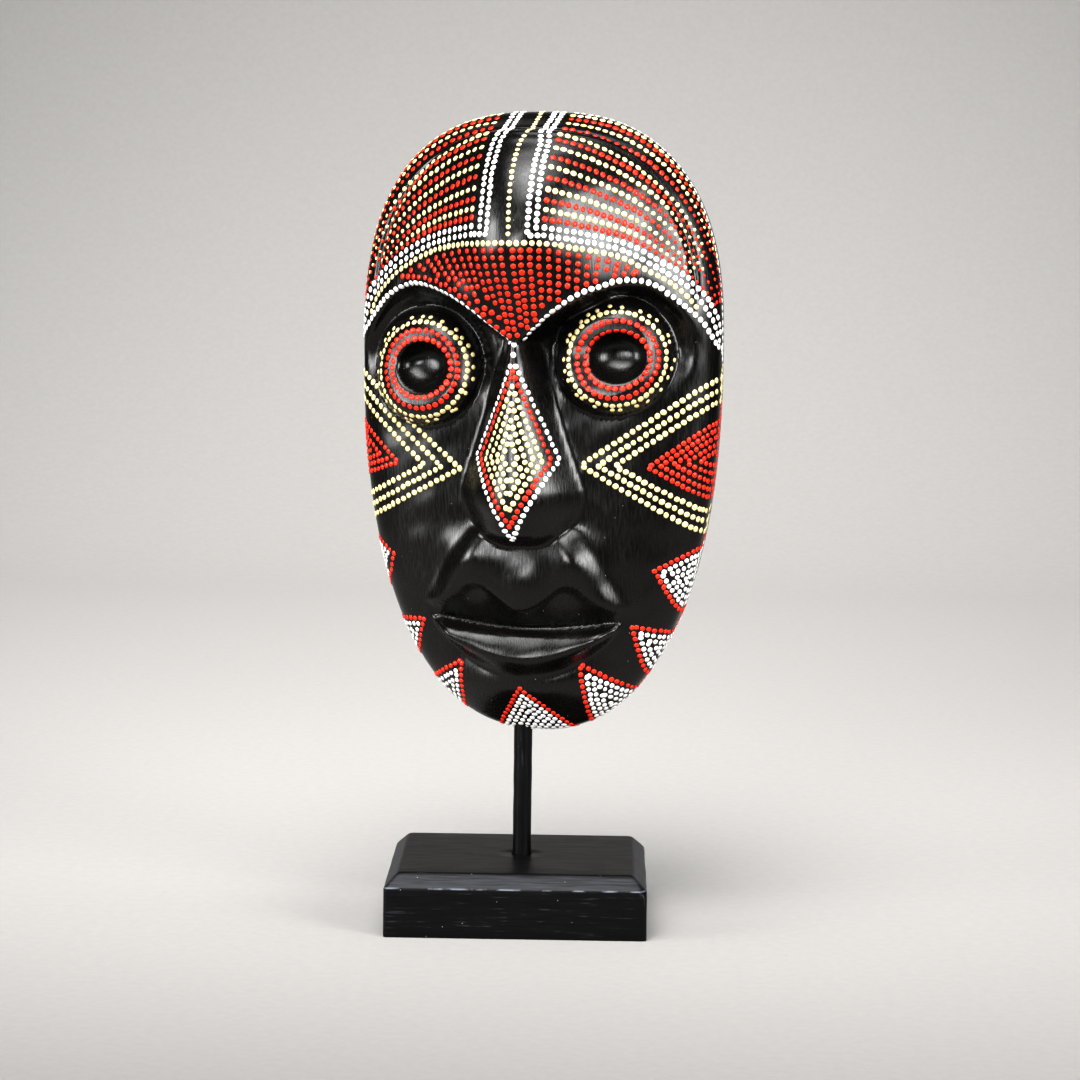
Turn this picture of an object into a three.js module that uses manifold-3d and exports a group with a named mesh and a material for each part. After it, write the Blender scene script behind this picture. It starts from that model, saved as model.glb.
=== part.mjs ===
// Carved wooden mask on a display stand: mask, round rod and square base.
// Millimetres, +Z up, the origin is the middle of the base's underside.

import * as THREE from 'three';
import { mergeVertices } from 'three/addons/utils/BufferGeometryUtils.js';
import Module from 'manifold-3d';

// Stand base, a block with rounded corners and a chamfered top
const baseWidth = 138;
const baseDepth = 122;
const baseHeight = 33.5;
const baseChamfer = 7.4;
const baseCorner = 2;
const baseFootEase = 0.8;

// Stand rod, a round dowel set in the base and in the mask's chin
const rodDiameter = 10;
const rodExposed = 67.5;
const rodSeatInBase = 18;
const rodSeatInMask = 38;
const rodTipEase = 0.8;
const rodBesideMiddle = 2;
const seatClearance = 0.3;

// Mask outline: widest level at w = 0, crown above it and chin below it
const maskWidth = 197;
const crownHeight = 124;
const chinDrop = 206;
const crownFullness = 2.55;
const chinFullness = 2.32;

// Mask depth: a nearly straight edge, then a domed face
const edgeDepth = 18;
const domeDepth = 31;
const foreheadRise = 38;
const edgeDraft = 2.5;

// Mask hollow, gouged from the back
const rimWidth = 15;
const chinSolid = 56;
const hollowDepth = 25;
const hollowForeheadDepth = 27;
const brainPan = { wide: 38, high: 42, level: 55 };

// The mask is turned on its rod, and the rod enters it off its middle
const maskTurn = THREE.MathUtils.degToRad(14);
const rodSideOffset = -7;
const rodForward = 19;

// Mesh fineness
const faceCellsAcross = 46;
const faceCellsUp = 74;
const hollowCellsAcross = 22;
const hollowCellsUp = 30;
const rodSides = 32;
const cornerSteps = 3;
const edgeCrowding = 1.12;
const creaseCatch = 2.6;

// The carving is laid out in millimetres on a face this big, and it stretches with the mask
const layoutHalfWidth = 98.5;
const layoutCrown = 124;
const layoutChin = 206;
const layoutDome = 31;
const relief = domeDepth / layoutDome;

const widest = baseHeight + rodExposed + chinDrop;

const clamp = (x, low, high) => Math.min(high, Math.max(low, x));
const bell = (x) => Math.exp(-x * x);

// Smooth step from 0 to 1 over x = 0 to 1
function step(x) {
  const t = clamp(x, 0, 1);
  return t * t * (3 - 2 * t);
}

// How far out a point is: 0 in the middle of the face, 1 on its outline
function reach(u, w) {
  const fullness = w >= 0 ? crownFullness : chinFullness;
  const height = w >= 0 ? layoutCrown : layoutChin;
  const sum = Math.abs(u / layoutHalfWidth) ** fullness + Math.abs(w / height) ** fullness;
  return sum ** (1 / fullness);
}

// Brow edge: a gull wing that dips to the bridge of the nose and ends at the temples
const browLine = {
  middle: -1.5, peakAside: 61, fall: 36.5, bridge: 2.5, peak: 33.5, temple: -5, tilt: 0.02, edge: 8,
};

function browHeight(u) {
  const { middle, peakAside, fall, bridge, peak, temple, tilt } = browLine;
  const aside = Math.abs(u - middle);
  if (aside < peakAside) {
    return bridge + (peak - bridge) * Math.sin((Math.PI / 2) * (aside / peakAside)) + tilt * u;
  }
  return peak - (peak - temple) * ((aside - peakAside) / fall) ** 2 + tilt * u;
}

// Forehead: a bulging mass with its own rounded edge, a groove, and the rolled cap outside it
const forehead = { spread: 48, edgeShare: 0.925, edgePower: 6, bulgePower: 0.45 };
const bridge = { share: 0.45, level: -2, fade: 60 };
const cap = { rise: 11, wideShare: 0.035, fade: 60 };
const groove = { farShare: 0.905, wideShare: 0.016, depth: 2.6, foot: 12, fade: 40 };

function foreheadMass(u, w, r) {
  const { spread, edgeShare, edgePower, bulgePower } = forehead;
  const rounded = Math.max(0, 1 - Math.min(1, r / edgeShare) ** edgePower) ** bulgePower;
  const high = bridge.share + (1 - bridge.share) * step((w - bridge.level) / bridge.fade);
  return foreheadRise * bell(u / spread) * rounded * high;
}

function capTrim(u, w, r) {
  const edge = bell((r - forehead.edgeShare) / cap.wideShare) * step(w / cap.fade);
  const line = bell((r - groove.farShare) / groove.wideShare) * step((w - groove.foot) / groove.fade);
  return cap.rise * bell(u / forehead.spread) * edge - groove.depth * line;
}

// Brow roll just above the brow edge, fading to the bridge and the temples
const roll = { rise: 3.5, above: 3, high: 12, outer: 96, outerFade: 25, inner: 4, innerFade: 18 };

function browRoll(u, w, r) {
  const aside = Math.abs(u);
  const along = step((roll.outer - aside) / roll.outerFade) * step((aside - roll.inner) / roll.innerFade);
  return roll.rise * bell((w - browHeight(u) - roll.above) / roll.high) * along * (1 - r ** 10);
}

// Eyes: a round mound that leans off its ring, with a bowl in its flat top, under a shallow socket
const leftEye = { u: -55.5, w: -11, lean: -1 };
const rightEye = { u: 50.5, w: -3, lean: -4 };
const eyes = [leftEye, rightEye];
const eyeMound = { radius: 32, height: 18.5, power: 0.62, top: 13.4 };
const eyeBowl = { radius: 13.8, stretch: 1.12, depth: 11.5, flatness: 2.8, power: 0.8 };
const eyeSocket = { radius: 31, fade: 12, depth: 6, lowest: 24, lowFade: 30 };

function eyeCarving(u, w, below) {
  let rise = 0;
  for (const eye of eyes) {
    const foot = Math.hypot(u - eye.u - eye.lean, w - eye.w);
    const upper = step((w - eye.w + eyeSocket.lowest) / eyeSocket.lowFade);
    rise -= eyeSocket.depth * below * upper * (1 - step((foot - eyeSocket.radius) / eyeSocket.fade));
    const dome = eyeMound.height * Math.max(0, 1 - (foot / eyeMound.radius) ** 2) ** eyeMound.power;
    const ring = Math.hypot((u - eye.u) / eyeBowl.stretch, w - eye.w) / eyeBowl.radius;
    const bowl = eyeBowl.depth * Math.max(0, 1 - ring ** eyeBowl.flatness) ** eyeBowl.power;
    rise += (Math.min(dome, eyeMound.top) - bowl) * step(below * 1.5);
  }
  return rise;
}

// Nose: a ridge that widens from the bridge to a rounded ball, cut away underneath
const nose = {
  top: 4, ball: -74, bridgeHalf: 9.5, ballHalf: 34, ballDrop: 31, bridgeRise: 17, tipRise: 8.5, tipRun: 95,
  middle: -2.5, swing: 1, broadFrom: -35, broadRun: 45, underFrom: -80, underRun: 24, sink: 2, sinkRun: 16,
};

function noseCarving(u, w) {
  const along = clamp((nose.top - w) / (nose.top - nose.ball), 0, 1);
  const round = Math.sqrt(clamp(1 - ((nose.ball - w) / nose.ballDrop) ** 2, 1e-4, 1));
  const taper = nose.bridgeHalf + (nose.ballHalf - nose.bridgeHalf) * along ** 1.05;
  const half = w > nose.ball ? taper : nose.ballHalf * round;
  const aside = Math.abs(u - nose.middle - nose.swing * along) / half;
  const across = Math.max(0, 1 - aside ** 2) ** (1.5 - 0.3 * step((nose.broadFrom - w) / nose.broadRun));
  const under = Math.max(0, 1 - (Math.max(0, nose.underFrom - w) / nose.underRun) ** 2) ** 0.7;
  const rise = nose.bridgeRise + nose.tipRise * step((nose.top - w) / nose.tipRun);
  return rise * across * under * (1 - step((w - nose.sink) / nose.sinkRun));
}

// Mouth lines, by distance from its middle: the upper lip's bow, the slit, the lower lip's foot
const mouth = { middle: -1.5, half: 53.5, endShare: 0.26, bend: 50 };
const bow = { dip: -139.5, rise: 14, peak: 25, fall: 12.5, corner: 27, edge: 2.5 };
const slit = { level: -151, rise: 5, edge: 3 };
const lip = { foot: -180, rise: 28, slant: 11, start: 5, gap: 1.5 };
const lipRoll = { full: 10.5, edgeDip: 8, crestShare: 0.5, fallFromShare: 0.45, fallShare: 0.45 };

function bowHeight(x) {
  return bow.dip + bow.rise * step(x / bow.peak) - bow.fall * step((x - bow.peak) / bow.corner);
}

const slitHeight = (x) => slit.level + slit.rise * (x / mouth.bend) ** 2;
const lipFootHeight = (x) => lip.foot + lip.rise * (x / mouth.bend) ** 2;

// Muzzle: a tent from the nose to the mouth corners, with three soft pads
const muzzle = { rise: 5, top: -88, topFade: 12, fold: 23, foldFrom: -94, foldRun: 40, spread: 27, edge: 15 };
const middlePad = { u: -1, w: -125, wide: 12, high: 14, rise: 4.5 };
const leftPad = { u: -27, w: -113, wide: 14, high: 14, rise: 5 };
const rightPad = { u: 25, w: -113, wide: 14, high: 14, rise: 5 };

function muzzleCarving(u, w) {
  const aside = Math.abs(u - mouth.middle);
  const down = clamp((muzzle.foldFrom - w) / muzzle.foldRun, 0, 1.4);
  const fold = muzzle.fold + muzzle.spread * down ** 0.9;
  const overLip = step((w - bowHeight(aside)) / bow.edge + 0.5) * step((muzzle.top - w) / muzzle.topFade);
  let rise = muzzle.rise * step((fold - aside) / muzzle.edge + 0.5);
  for (const pad of [middlePad, leftPad, rightPad]) {
    rise += pad.rise * bell((u - pad.u) / pad.wide) * bell((w - pad.w) / pad.high);
  }
  return rise * overLip;
}

// Lips: the upper one slants back from its bow to the slit, the lower one is a full roll
function lipCarving(u, w) {
  const aside = Math.abs(u - mouth.middle);
  const ends = step((1 - aside / mouth.half) / mouth.endShare);
  const [top, middle, foot] = [bowHeight(aside), slitHeight(aside), lipFootHeight(aside)];
  const underBow = 1 - step((w - top) / bow.edge + 0.5);
  const underSlit = step((middle - w) / slit.edge + 0.5);
  const back = clamp((top - w) / Math.max(top - middle, slit.edge), 0, 1);
  const upper = (lip.start - lip.slant * back ** 0.9) * underBow * (1 - underSlit);
  const down = clamp((middle + lip.gap - w) / Math.max(middle + lip.gap - foot, lip.start), 0, 1);
  const rolled = lipRoll.full - lipRoll.edgeDip * Math.max(0, 1 - down / lipRoll.crestShare) ** 2;
  const full = rolled * (1 - step((down - lipRoll.fallFromShare) / lipRoll.fallShare));
  return (upper + full * underSlit) * ends;
}

const chin = { u: -1, w: -181, wide: 40, high: 13, rise: 10 };

// Depth of the carved face in front of the rim plane, at a layout place
function faceDepth(u, w) {
  const r = Math.min(1, reach(u, w));
  const dome = edgeDepth + domeDepth * Math.max(0, 1 - r ** 2.3) ** 0.435;
  const above = step((w - browHeight(u)) / browLine.edge + 0.75);
  const mass = foreheadMass(u, w, r) * above;
  const noseRise = Math.max(0, noseCarving(u, w) - mass / relief);
  const chinRise = chin.rise * bell((u - chin.u) / chin.wide) * bell((w - chin.w) / chin.high);
  const upperFace = browRoll(u, w, r) * above + capTrim(u, w, r) + eyeCarving(u, w, 1 - above);
  const lowerFace = noseRise + muzzleCarving(u, w) + lipCarving(u, w) + chinRise * (1 - r ** 12);
  return dome + mass + relief * (upperFace + lowerFace);
}

// Shift that brings a place onto a circle about a centre, stretched across by a factor
function ontoCircle(u, w, centreU, centreW, radius, stretch = 1) {
  const [du, dw] = [(u - centreU) / stretch, w - centreW];
  const share = radius / Math.max(Math.hypot(du, dw), 1) - 1;
  return [du * share * stretch, dw * share];
}

// Shifts that bring a place onto each line where the carving turns sharply
function creaseShifts(u, w) {
  const aside = Math.abs(u - mouth.middle);
  const shifts = [];
  for (const eye of eyes) {
    const shoulder = Math.sqrt(1 - (eyeMound.top / eyeMound.height) ** (1 / eyeMound.power));
    for (const radius of [eyeMound.radius, eyeMound.radius * shoulder]) {
      shifts.push(ontoCircle(u, w, eye.u + eye.lean, eye.w, radius));
    }
    shifts.push(ontoCircle(u, w, eye.u, eye.w, eyeBowl.radius, eyeBowl.stretch));
  }
  if (w < nose.ball) {
    const stretch = nose.ballHalf / nose.ballDrop;
    shifts.push(ontoCircle(u, w, nose.middle + nose.swing, nose.ball, nose.ballDrop, stretch));
  } else if (w < nose.top) {
    const along = (nose.top - w) / (nose.top - nose.ball);
    const half = nose.bridgeHalf + (nose.ballHalf - nose.bridgeHalf) * along;
    const ridge = nose.middle + nose.swing * along;
    shifts.push([ridge + Math.sign(u - ridge) * half - u, 0]);
  }
  if (aside < mouth.half) {
    shifts.push([0, bowHeight(aside) + bow.edge / 2 - w], [0, slitHeight(aside) - w]);
    shifts.push([0, lipFootHeight(aside) - w]);
  }
  shifts.push([0, browHeight(u) + browLine.edge / 4 - w], [0, browHeight(u) - browLine.edge * 0.75 - w]);
  return shifts;
}

// Move a grid place onto the nearest crease, if one is less than half a cell away
function snapToCrease(u, w) {
  if (reach(u, w) > 0.93) return [u, w];
  const length = ([du, dw]) => Math.hypot(du, dw);
  const nearest = creaseShifts(u, w).reduce((a, b) => (length(a) < length(b) ? a : b));
  return length(nearest) < creaseCatch ? [u + nearest[0], w + nearest[1]] : [u, w];
}

// Square grid laid over a disc, so that its cells stay even; a and b run from -1 to 1
function discPoint(a, b) {
  const x = a * Math.sqrt(1 - (b * b) / 2);
  const y = b * Math.sqrt(1 - (a * a) / 2);
  const radius = Math.min(1, Math.hypot(x, y));
  const crowded = Math.sin(radius * edgeCrowding) / Math.sin(edgeCrowding);
  const scale = radius > 0 ? crowded / radius : 1;
  return [x * scale, y * scale, Math.min(1, crowded)];
}

// Closed body between a domed sheet in front and a fan behind it; each cell is split along the
// diagonal that lies nearer to the sheet's true depth
function domedSolid(cellsAcross, cellsUp, place, depthAt, rings, middle) {
  const positions = [];
  const index = [];
  const columns = cellsAcross + 1;
  for (let j = 0; j <= cellsUp; j += 1) {
    for (let i = 0; i <= cellsAcross; i += 1) {
      positions.push(...place(...discPoint((2 * i) / cellsAcross - 1, (2 * j) / cellsUp - 1)));
    }
  }
  for (let j = 0; j < cellsUp; j += 1) {
    for (let i = 0; i < cellsAcross; i += 1) {
      const a = j * columns + i;
      const [b, c, d] = [a + 1, a + columns + 1, a + columns];
      const miss = (k, n) => {
        const [x, y, z] = [0, 1, 2].map((axis) => (positions[3 * k + axis] + positions[3 * n + axis]) / 2);
        return Math.abs(depthAt(x, z) + y);
      };
      if (miss(b, d) < miss(a, c)) {
        index.push(a, b, d, b, c, d);
      } else {
        index.push(a, b, c, a, c, d);
      }
    }
  }
  let edge = [];
  for (let i = 0; i < cellsAcross; i += 1) edge.push(i);
  for (let j = 0; j < cellsUp; j += 1) edge.push(j * columns + cellsAcross);
  for (let i = cellsAcross; i > 0; i -= 1) edge.push(cellsUp * columns + i);
  for (let j = cellsUp; j > 0; j -= 1) edge.push(j * columns);
  for (const ring of rings) {
    const first = positions.length / 3;
    edge.forEach((k) => positions.push(...ring(positions[3 * k], positions[3 * k + 2])));
    const next = edge.map((_, k) => first + k);
    edge.forEach((k, n) => {
      const after = (n + 1) % edge.length;
      index.push(k, next[n], edge[after], edge[after], next[n], next[after]);
    });
    edge = next;
  }
  const centre = positions.length / 3;
  positions.push(...middle);
  edge.forEach((k, n) => index.push(centre, edge[(n + 1) % edge.length], k));
  return meshFrom(positions, index);
}

function meshFrom(positions, index) {
  const geometry = new THREE.BufferGeometry();
  geometry.setAttribute('position', new THREE.Float32BufferAttribute(positions, 3));
  geometry.setIndex(index);
  return mergeVertices(geometry, 1e-4);
}

// Closed body from a stack of outlines with the same number of points
function stackedSolid(outlines) {
  const count = outlines[0].length;
  const positions = outlines.flat(2);
  const index = [];
  for (let k = 0; k + 1 < outlines.length; k += 1) {
    for (let n = 0; n < count; n += 1) {
      const a = k * count + n;
      const b = k * count + ((n + 1) % count);
      index.push(a, b, b + count, a, b + count, a + count);
    }
  }
  const last = (outlines.length - 1) * count;
  for (let n = 1; n + 1 < count; n += 1) {
    index.push(0, n + 1, n, last, last + n, last + n + 1);
  }
  return meshFrom(positions, index);
}

// Points of a circle about a place on the floor plane, at a height
function circle(radius, z, x = 0, y = 0) {
  return Array.from({ length: rodSides }, (_, k) => {
    const angle = (2 * Math.PI * k) / rodSides;
    return [x + radius * Math.cos(angle), y + radius * Math.sin(angle), z];
  });
}

// Points of the base's outline, drawn in by an inset, at a height
function baseOutline(inset, z) {
  const points = [];
  const middleX = baseWidth / 2 - baseCorner - inset;
  const middleY = baseDepth / 2 - baseCorner - inset;
  const corners = [[1, 1], [-1, 1], [-1, -1], [1, -1]];
  corners.forEach(([sideX, sideY], quarter) => {
    for (let k = 0; k <= cornerSteps; k += 1) {
      const angle = (Math.PI / 2) * (quarter + k / cornerSteps);
      const [arcX, arcY] = [baseCorner * Math.cos(angle), baseCorner * Math.sin(angle)];
      points.push([sideX * middleX + arcX, sideY * middleY + arcY, z]);
    }
  });
  return points;
}

const wasm = await Module();
wasm.setup();

// Cut one closed mesh by others
function cut(geometry, ...cutters) {
  const solid = (mesh) => {
    const vertProperties = new Float32Array(mesh.getAttribute('position').array);
    const triVerts = new Uint32Array(mesh.getIndex().array);
    return new wasm.Manifold(new wasm.Mesh({ numProp: 3, vertProperties, triVerts }));
  };
  const result = cutters.reduce((body, cutter) => body.subtract(solid(cutter)), solid(geometry));
  const mesh = result.getMesh();
  return meshFrom(Array.from(mesh.vertProperties), Array.from(mesh.triVerts));
}

// Mask, modelled facing -Y with its rim plane at y = 0 and its widest level at z = 0
function maskGeometry() {
  const halfWidth = maskWidth / 2;
  const outlinePlace = (x, y, far) => {
    const fullness = y >= 0 ? crownFullness : chinFullness;
    const round = Math.hypot(x, y);
    if (round === 0) return [0, 0];
    const [c, s] = [x / round, y / round];
    const height = s >= 0 ? crownHeight : chinDrop;
    const sum = Math.abs(c / halfWidth) ** fullness + Math.abs(s / height) ** fullness;
    const radius = far * sum ** (-1 / fullness);
    return [c * radius, s * radius];
  };
  const wide = halfWidth / layoutHalfWidth;
  const high = (w) => (w >= 0 ? crownHeight / layoutCrown : chinDrop / layoutChin);
  const facePlace = (x, y, far) => {
    const [plainU, plainW] = outlinePlace(x, y, far);
    const [u, w] = snapToCrease(plainU / wide, plainW / high(plainW));
    return [u * wide, -faceDepth(u, w), w * high(plainW)];
  };
  const faceAt = (u, w) => faceDepth(u / wide, w / high(w));
  const drawIn = (distance) => 1 - distance / halfWidth;
  const backRing = (u, w) => [u * drawIn(edgeDraft), 0, w * drawIn(edgeDraft)];
  const body = domedSolid(faceCellsAcross, faceCellsUp, facePlace, faceAt, [backRing], [0, 0, 0]);

  const hollowTop = crownHeight - rimWidth;
  const hollowBottom = chinDrop - chinSolid;
  const hollowHalf = halfWidth - rimWidth;
  const hollowHigh = (w) => (w >= 0 ? hollowTop / crownHeight : hollowBottom / chinDrop);
  const hollowAt = (u, w) => {
    const far = reach(u / (wide * (hollowHalf / halfWidth)), w / (high(w) * hollowHigh(w)));
    const bowl = hollowDepth * Math.sqrt(Math.max(0, 1 - far ** 2.6));
    const brain = bell(u / brainPan.wide) * bell((w - brainPan.level) / brainPan.high);
    return bowl + hollowForeheadDepth * brain * Math.max(0, 1 - far ** 3);
  };
  const hollowPlace = (x, y, far) => {
    const [u, w] = outlinePlace(x, y, far);
    const [hu, hw] = [(u * hollowHalf) / halfWidth, w * hollowHigh(w)];
    return [hu, far < 1 ? -hollowAt(hu, hw) : 0, hw];
  };
  const open = (u, w) => [u * 1.02, rimWidth, w * 1.02];
  const hollow = domedSolid(
    hollowCellsAcross, hollowCellsUp, hollowPlace, hollowAt, [open], [0, rimWidth, 0],
  );

  const holeRadius = rodDiameter / 2 + seatClearance;
  const holeTop = rodSeatInMask + seatClearance - chinDrop;
  const holeBottom = -chinDrop - rodSeatInMask;
  const hole = stackedSolid([
    circle(holeRadius, holeBottom, rodSideOffset, -rodForward),
    circle(holeRadius, holeTop, rodSideOffset, -rodForward),
  ]);
  return cut(body, hollow, hole);
}

// Rod, standing on the floor of its seat in the base
function rodGeometry() {
  const bottom = baseHeight - rodSeatInBase;
  const top = baseHeight + rodExposed + rodSeatInMask;
  const radius = rodDiameter / 2;
  return stackedSolid([
    circle(radius - rodTipEase, bottom, rodBesideMiddle),
    circle(radius, bottom + rodTipEase, rodBesideMiddle),
    circle(radius, top - rodTipEase, rodBesideMiddle),
    circle(radius - rodTipEase, top, rodBesideMiddle),
  ]);
}

// Base with its blind seat for the rod
function baseGeometry() {
  const block = stackedSolid([
    baseOutline(baseFootEase, 0),
    baseOutline(0, baseFootEase),
    baseOutline(0, baseHeight - baseChamfer),
    baseOutline(baseChamfer, baseHeight),
  ]);
  const holeRadius = rodDiameter / 2 + seatClearance;
  const seatFloor = baseHeight - rodSeatInBase - seatClearance;
  return cut(block, stackedSolid([
    circle(holeRadius, seatFloor, rodBesideMiddle),
    circle(holeRadius, baseHeight + rodExposed, rodBesideMiddle),
  ]));
}

const lacquer = new THREE.MeshStandardMaterial({ color: 0x121110, roughness: 0.28, metalness: 0 });
const standPaint = new THREE.MeshStandardMaterial({ color: 0x17181a, roughness: 0.5, metalness: 0 });

function namedMesh(name, geometry, material) {
  const mesh = new THREE.Mesh(geometry, material);
  mesh.name = name;
  return mesh;
}

const mask = namedMesh('carved_mask', maskGeometry(), lacquer);
mask.position.set(-rodSideOffset, rodForward, widest);
const turned = new THREE.Group();
turned.position.x = rodBesideMiddle;
turned.rotation.z = -maskTurn;
turned.add(mask);

const part = new THREE.Group();
part.add(turned);
part.add(namedMesh('stand_rod', rodGeometry(), standPaint));
part.add(namedMesh('stand_base', baseGeometry(), standPaint));

export default part;
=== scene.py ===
"""Carved, lacquered and dot-painted wooden mask on a rod and a chamfered base.

Lengths inside the classes are millimetres, and meshes are written in metres. The mask has its own
places: u to the viewer's right, v forward of its flat back, w up from its widest level. A stance
turns them into the row's frame.
"""

import logging
import math
from dataclasses import dataclass, field
from enum import Enum

import bpy
import numpy as np
from mathutils import Matrix


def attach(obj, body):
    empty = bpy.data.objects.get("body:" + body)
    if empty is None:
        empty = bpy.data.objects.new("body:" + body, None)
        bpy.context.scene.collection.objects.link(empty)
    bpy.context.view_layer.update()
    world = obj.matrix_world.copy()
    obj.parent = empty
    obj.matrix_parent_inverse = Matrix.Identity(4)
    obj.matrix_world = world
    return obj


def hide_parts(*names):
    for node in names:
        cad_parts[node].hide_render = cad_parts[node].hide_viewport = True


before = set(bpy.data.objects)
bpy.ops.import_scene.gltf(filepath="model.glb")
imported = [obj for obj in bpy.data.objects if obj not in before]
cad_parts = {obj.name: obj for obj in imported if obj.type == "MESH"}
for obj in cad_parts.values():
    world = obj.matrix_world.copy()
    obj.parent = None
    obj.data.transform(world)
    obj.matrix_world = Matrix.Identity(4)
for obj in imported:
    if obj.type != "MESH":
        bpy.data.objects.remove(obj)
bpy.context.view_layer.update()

MM = 0.001
BODY = "root"
log = logging.getLogger("mask_scene")
Points = np.ndarray
Place = tuple[float, float]
Tree = bpy.types.NodeTree
Socket = bpy.types.NodeSocket
Material = bpy.types.Material


def smooth_step(x: Points) -> Points:
    """Smooth rise from 0 to 1 while x goes from 0 to 1."""
    t = np.clip(x, 0.0, 1.0)
    return t * t * (3.0 - 2.0 * t)


def bell(x: Points) -> Points:
    """Bell of height 1 about x = 0."""
    return np.exp(-x * x)


def linear(colour: str) -> tuple[float, float, float, float]:
    """Turn an sRGB hex colour into the linear values that shaders take.

    Args:
        colour: Six hex digits, such as "e8341e".

    Returns:
        Linear red, green, blue and an alpha of 1.
    """
    shares = [int(colour[k : k + 2], 16) / 255.0 for k in (0, 2, 4)]
    red, green, blue = (c / 12.92 if c <= 0.04045 else ((c + 0.055) / 1.055) ** 2.4 for c in shares)
    return red, green, blue, 1.0


def ripple(x: Points, y: Points, wavelength: float, seed: int) -> Points:
    """Soft irregular waves of a hand-worked surface: eight sines at random angles, averaged.

    Args:
        x: Places along the first axis, in mm.
        y: Places along the second axis, in mm.
        wavelength: Usual distance between crests, in mm.
        seed: Seed of the random directions.

    Returns:
        Heights between about -1 and 1.
    """
    rng = np.random.default_rng(seed)
    total, sines = np.zeros(np.shape(x)), 8
    for _ in range(sines):
        angle, phase = rng.uniform(0, np.pi), rng.uniform(0, 2 * np.pi)
        spread = rng.uniform(0.7, 1.5)
        along = np.asarray(x) * math.cos(angle) + np.asarray(y) * math.sin(angle)
        total = total + np.sin(2 * np.pi * along / (wavelength * spread) + phase)
    return total / (sines / 2)


@dataclass(frozen=True)
class Outline:
    """Oval outline of the mask: a full crown above the widest level, a long chin below it."""

    half_width: float = 98.5
    crown: float = 124.0
    chin: float = 206.0
    crown_fullness: float = 2.55
    chin_fullness: float = 2.32

    def _shape(self, w: Points) -> tuple[Points, Points]:
        """Fullness and height of the half of the outline that each place lies in."""
        upper = np.asarray(w) >= 0
        fullness = np.where(upper, self.crown_fullness, self.chin_fullness)
        return fullness, np.where(upper, self.crown, self.chin)

    def reach(self, u: Points, w: Points) -> Points:
        """How far out each place is: 0 in the middle and 1 on the outline.

        Args:
            u: Places across, in mm.
            w: Places up, in mm.

        Returns:
            The share of the way to the outline.
        """
        fullness, height = self._shape(w)
        across, up = np.abs(u / self.half_width), np.abs(w / height)
        return (across**fullness + up**fullness) ** (1.0 / fullness)

    def radius(self, angle: Points) -> Points:
        """Distance from the middle to the outline in each direction, in mm."""
        return 1.0 / self.reach(np.cos(angle), np.sin(angle))


@dataclass(frozen=True)
class Eye:
    """Round eye mound: the centre of its bowl, and how far its foot leans aside, in mm."""

    u: float
    w: float
    lean: float


@dataclass(frozen=True)
class Swelling:
    """Soft round form: its middle, its spread across and up, and its height, in mm."""

    u: float
    w: float
    wide: float
    high: float
    rise: float

    def lift(self, u: Points, w: Points) -> Points:
        """Height of the form at each place: one bell across times one bell up."""
        return self.rise * bell((u - self.u) / self.wide) * bell((w - self.w) / self.high)


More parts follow.
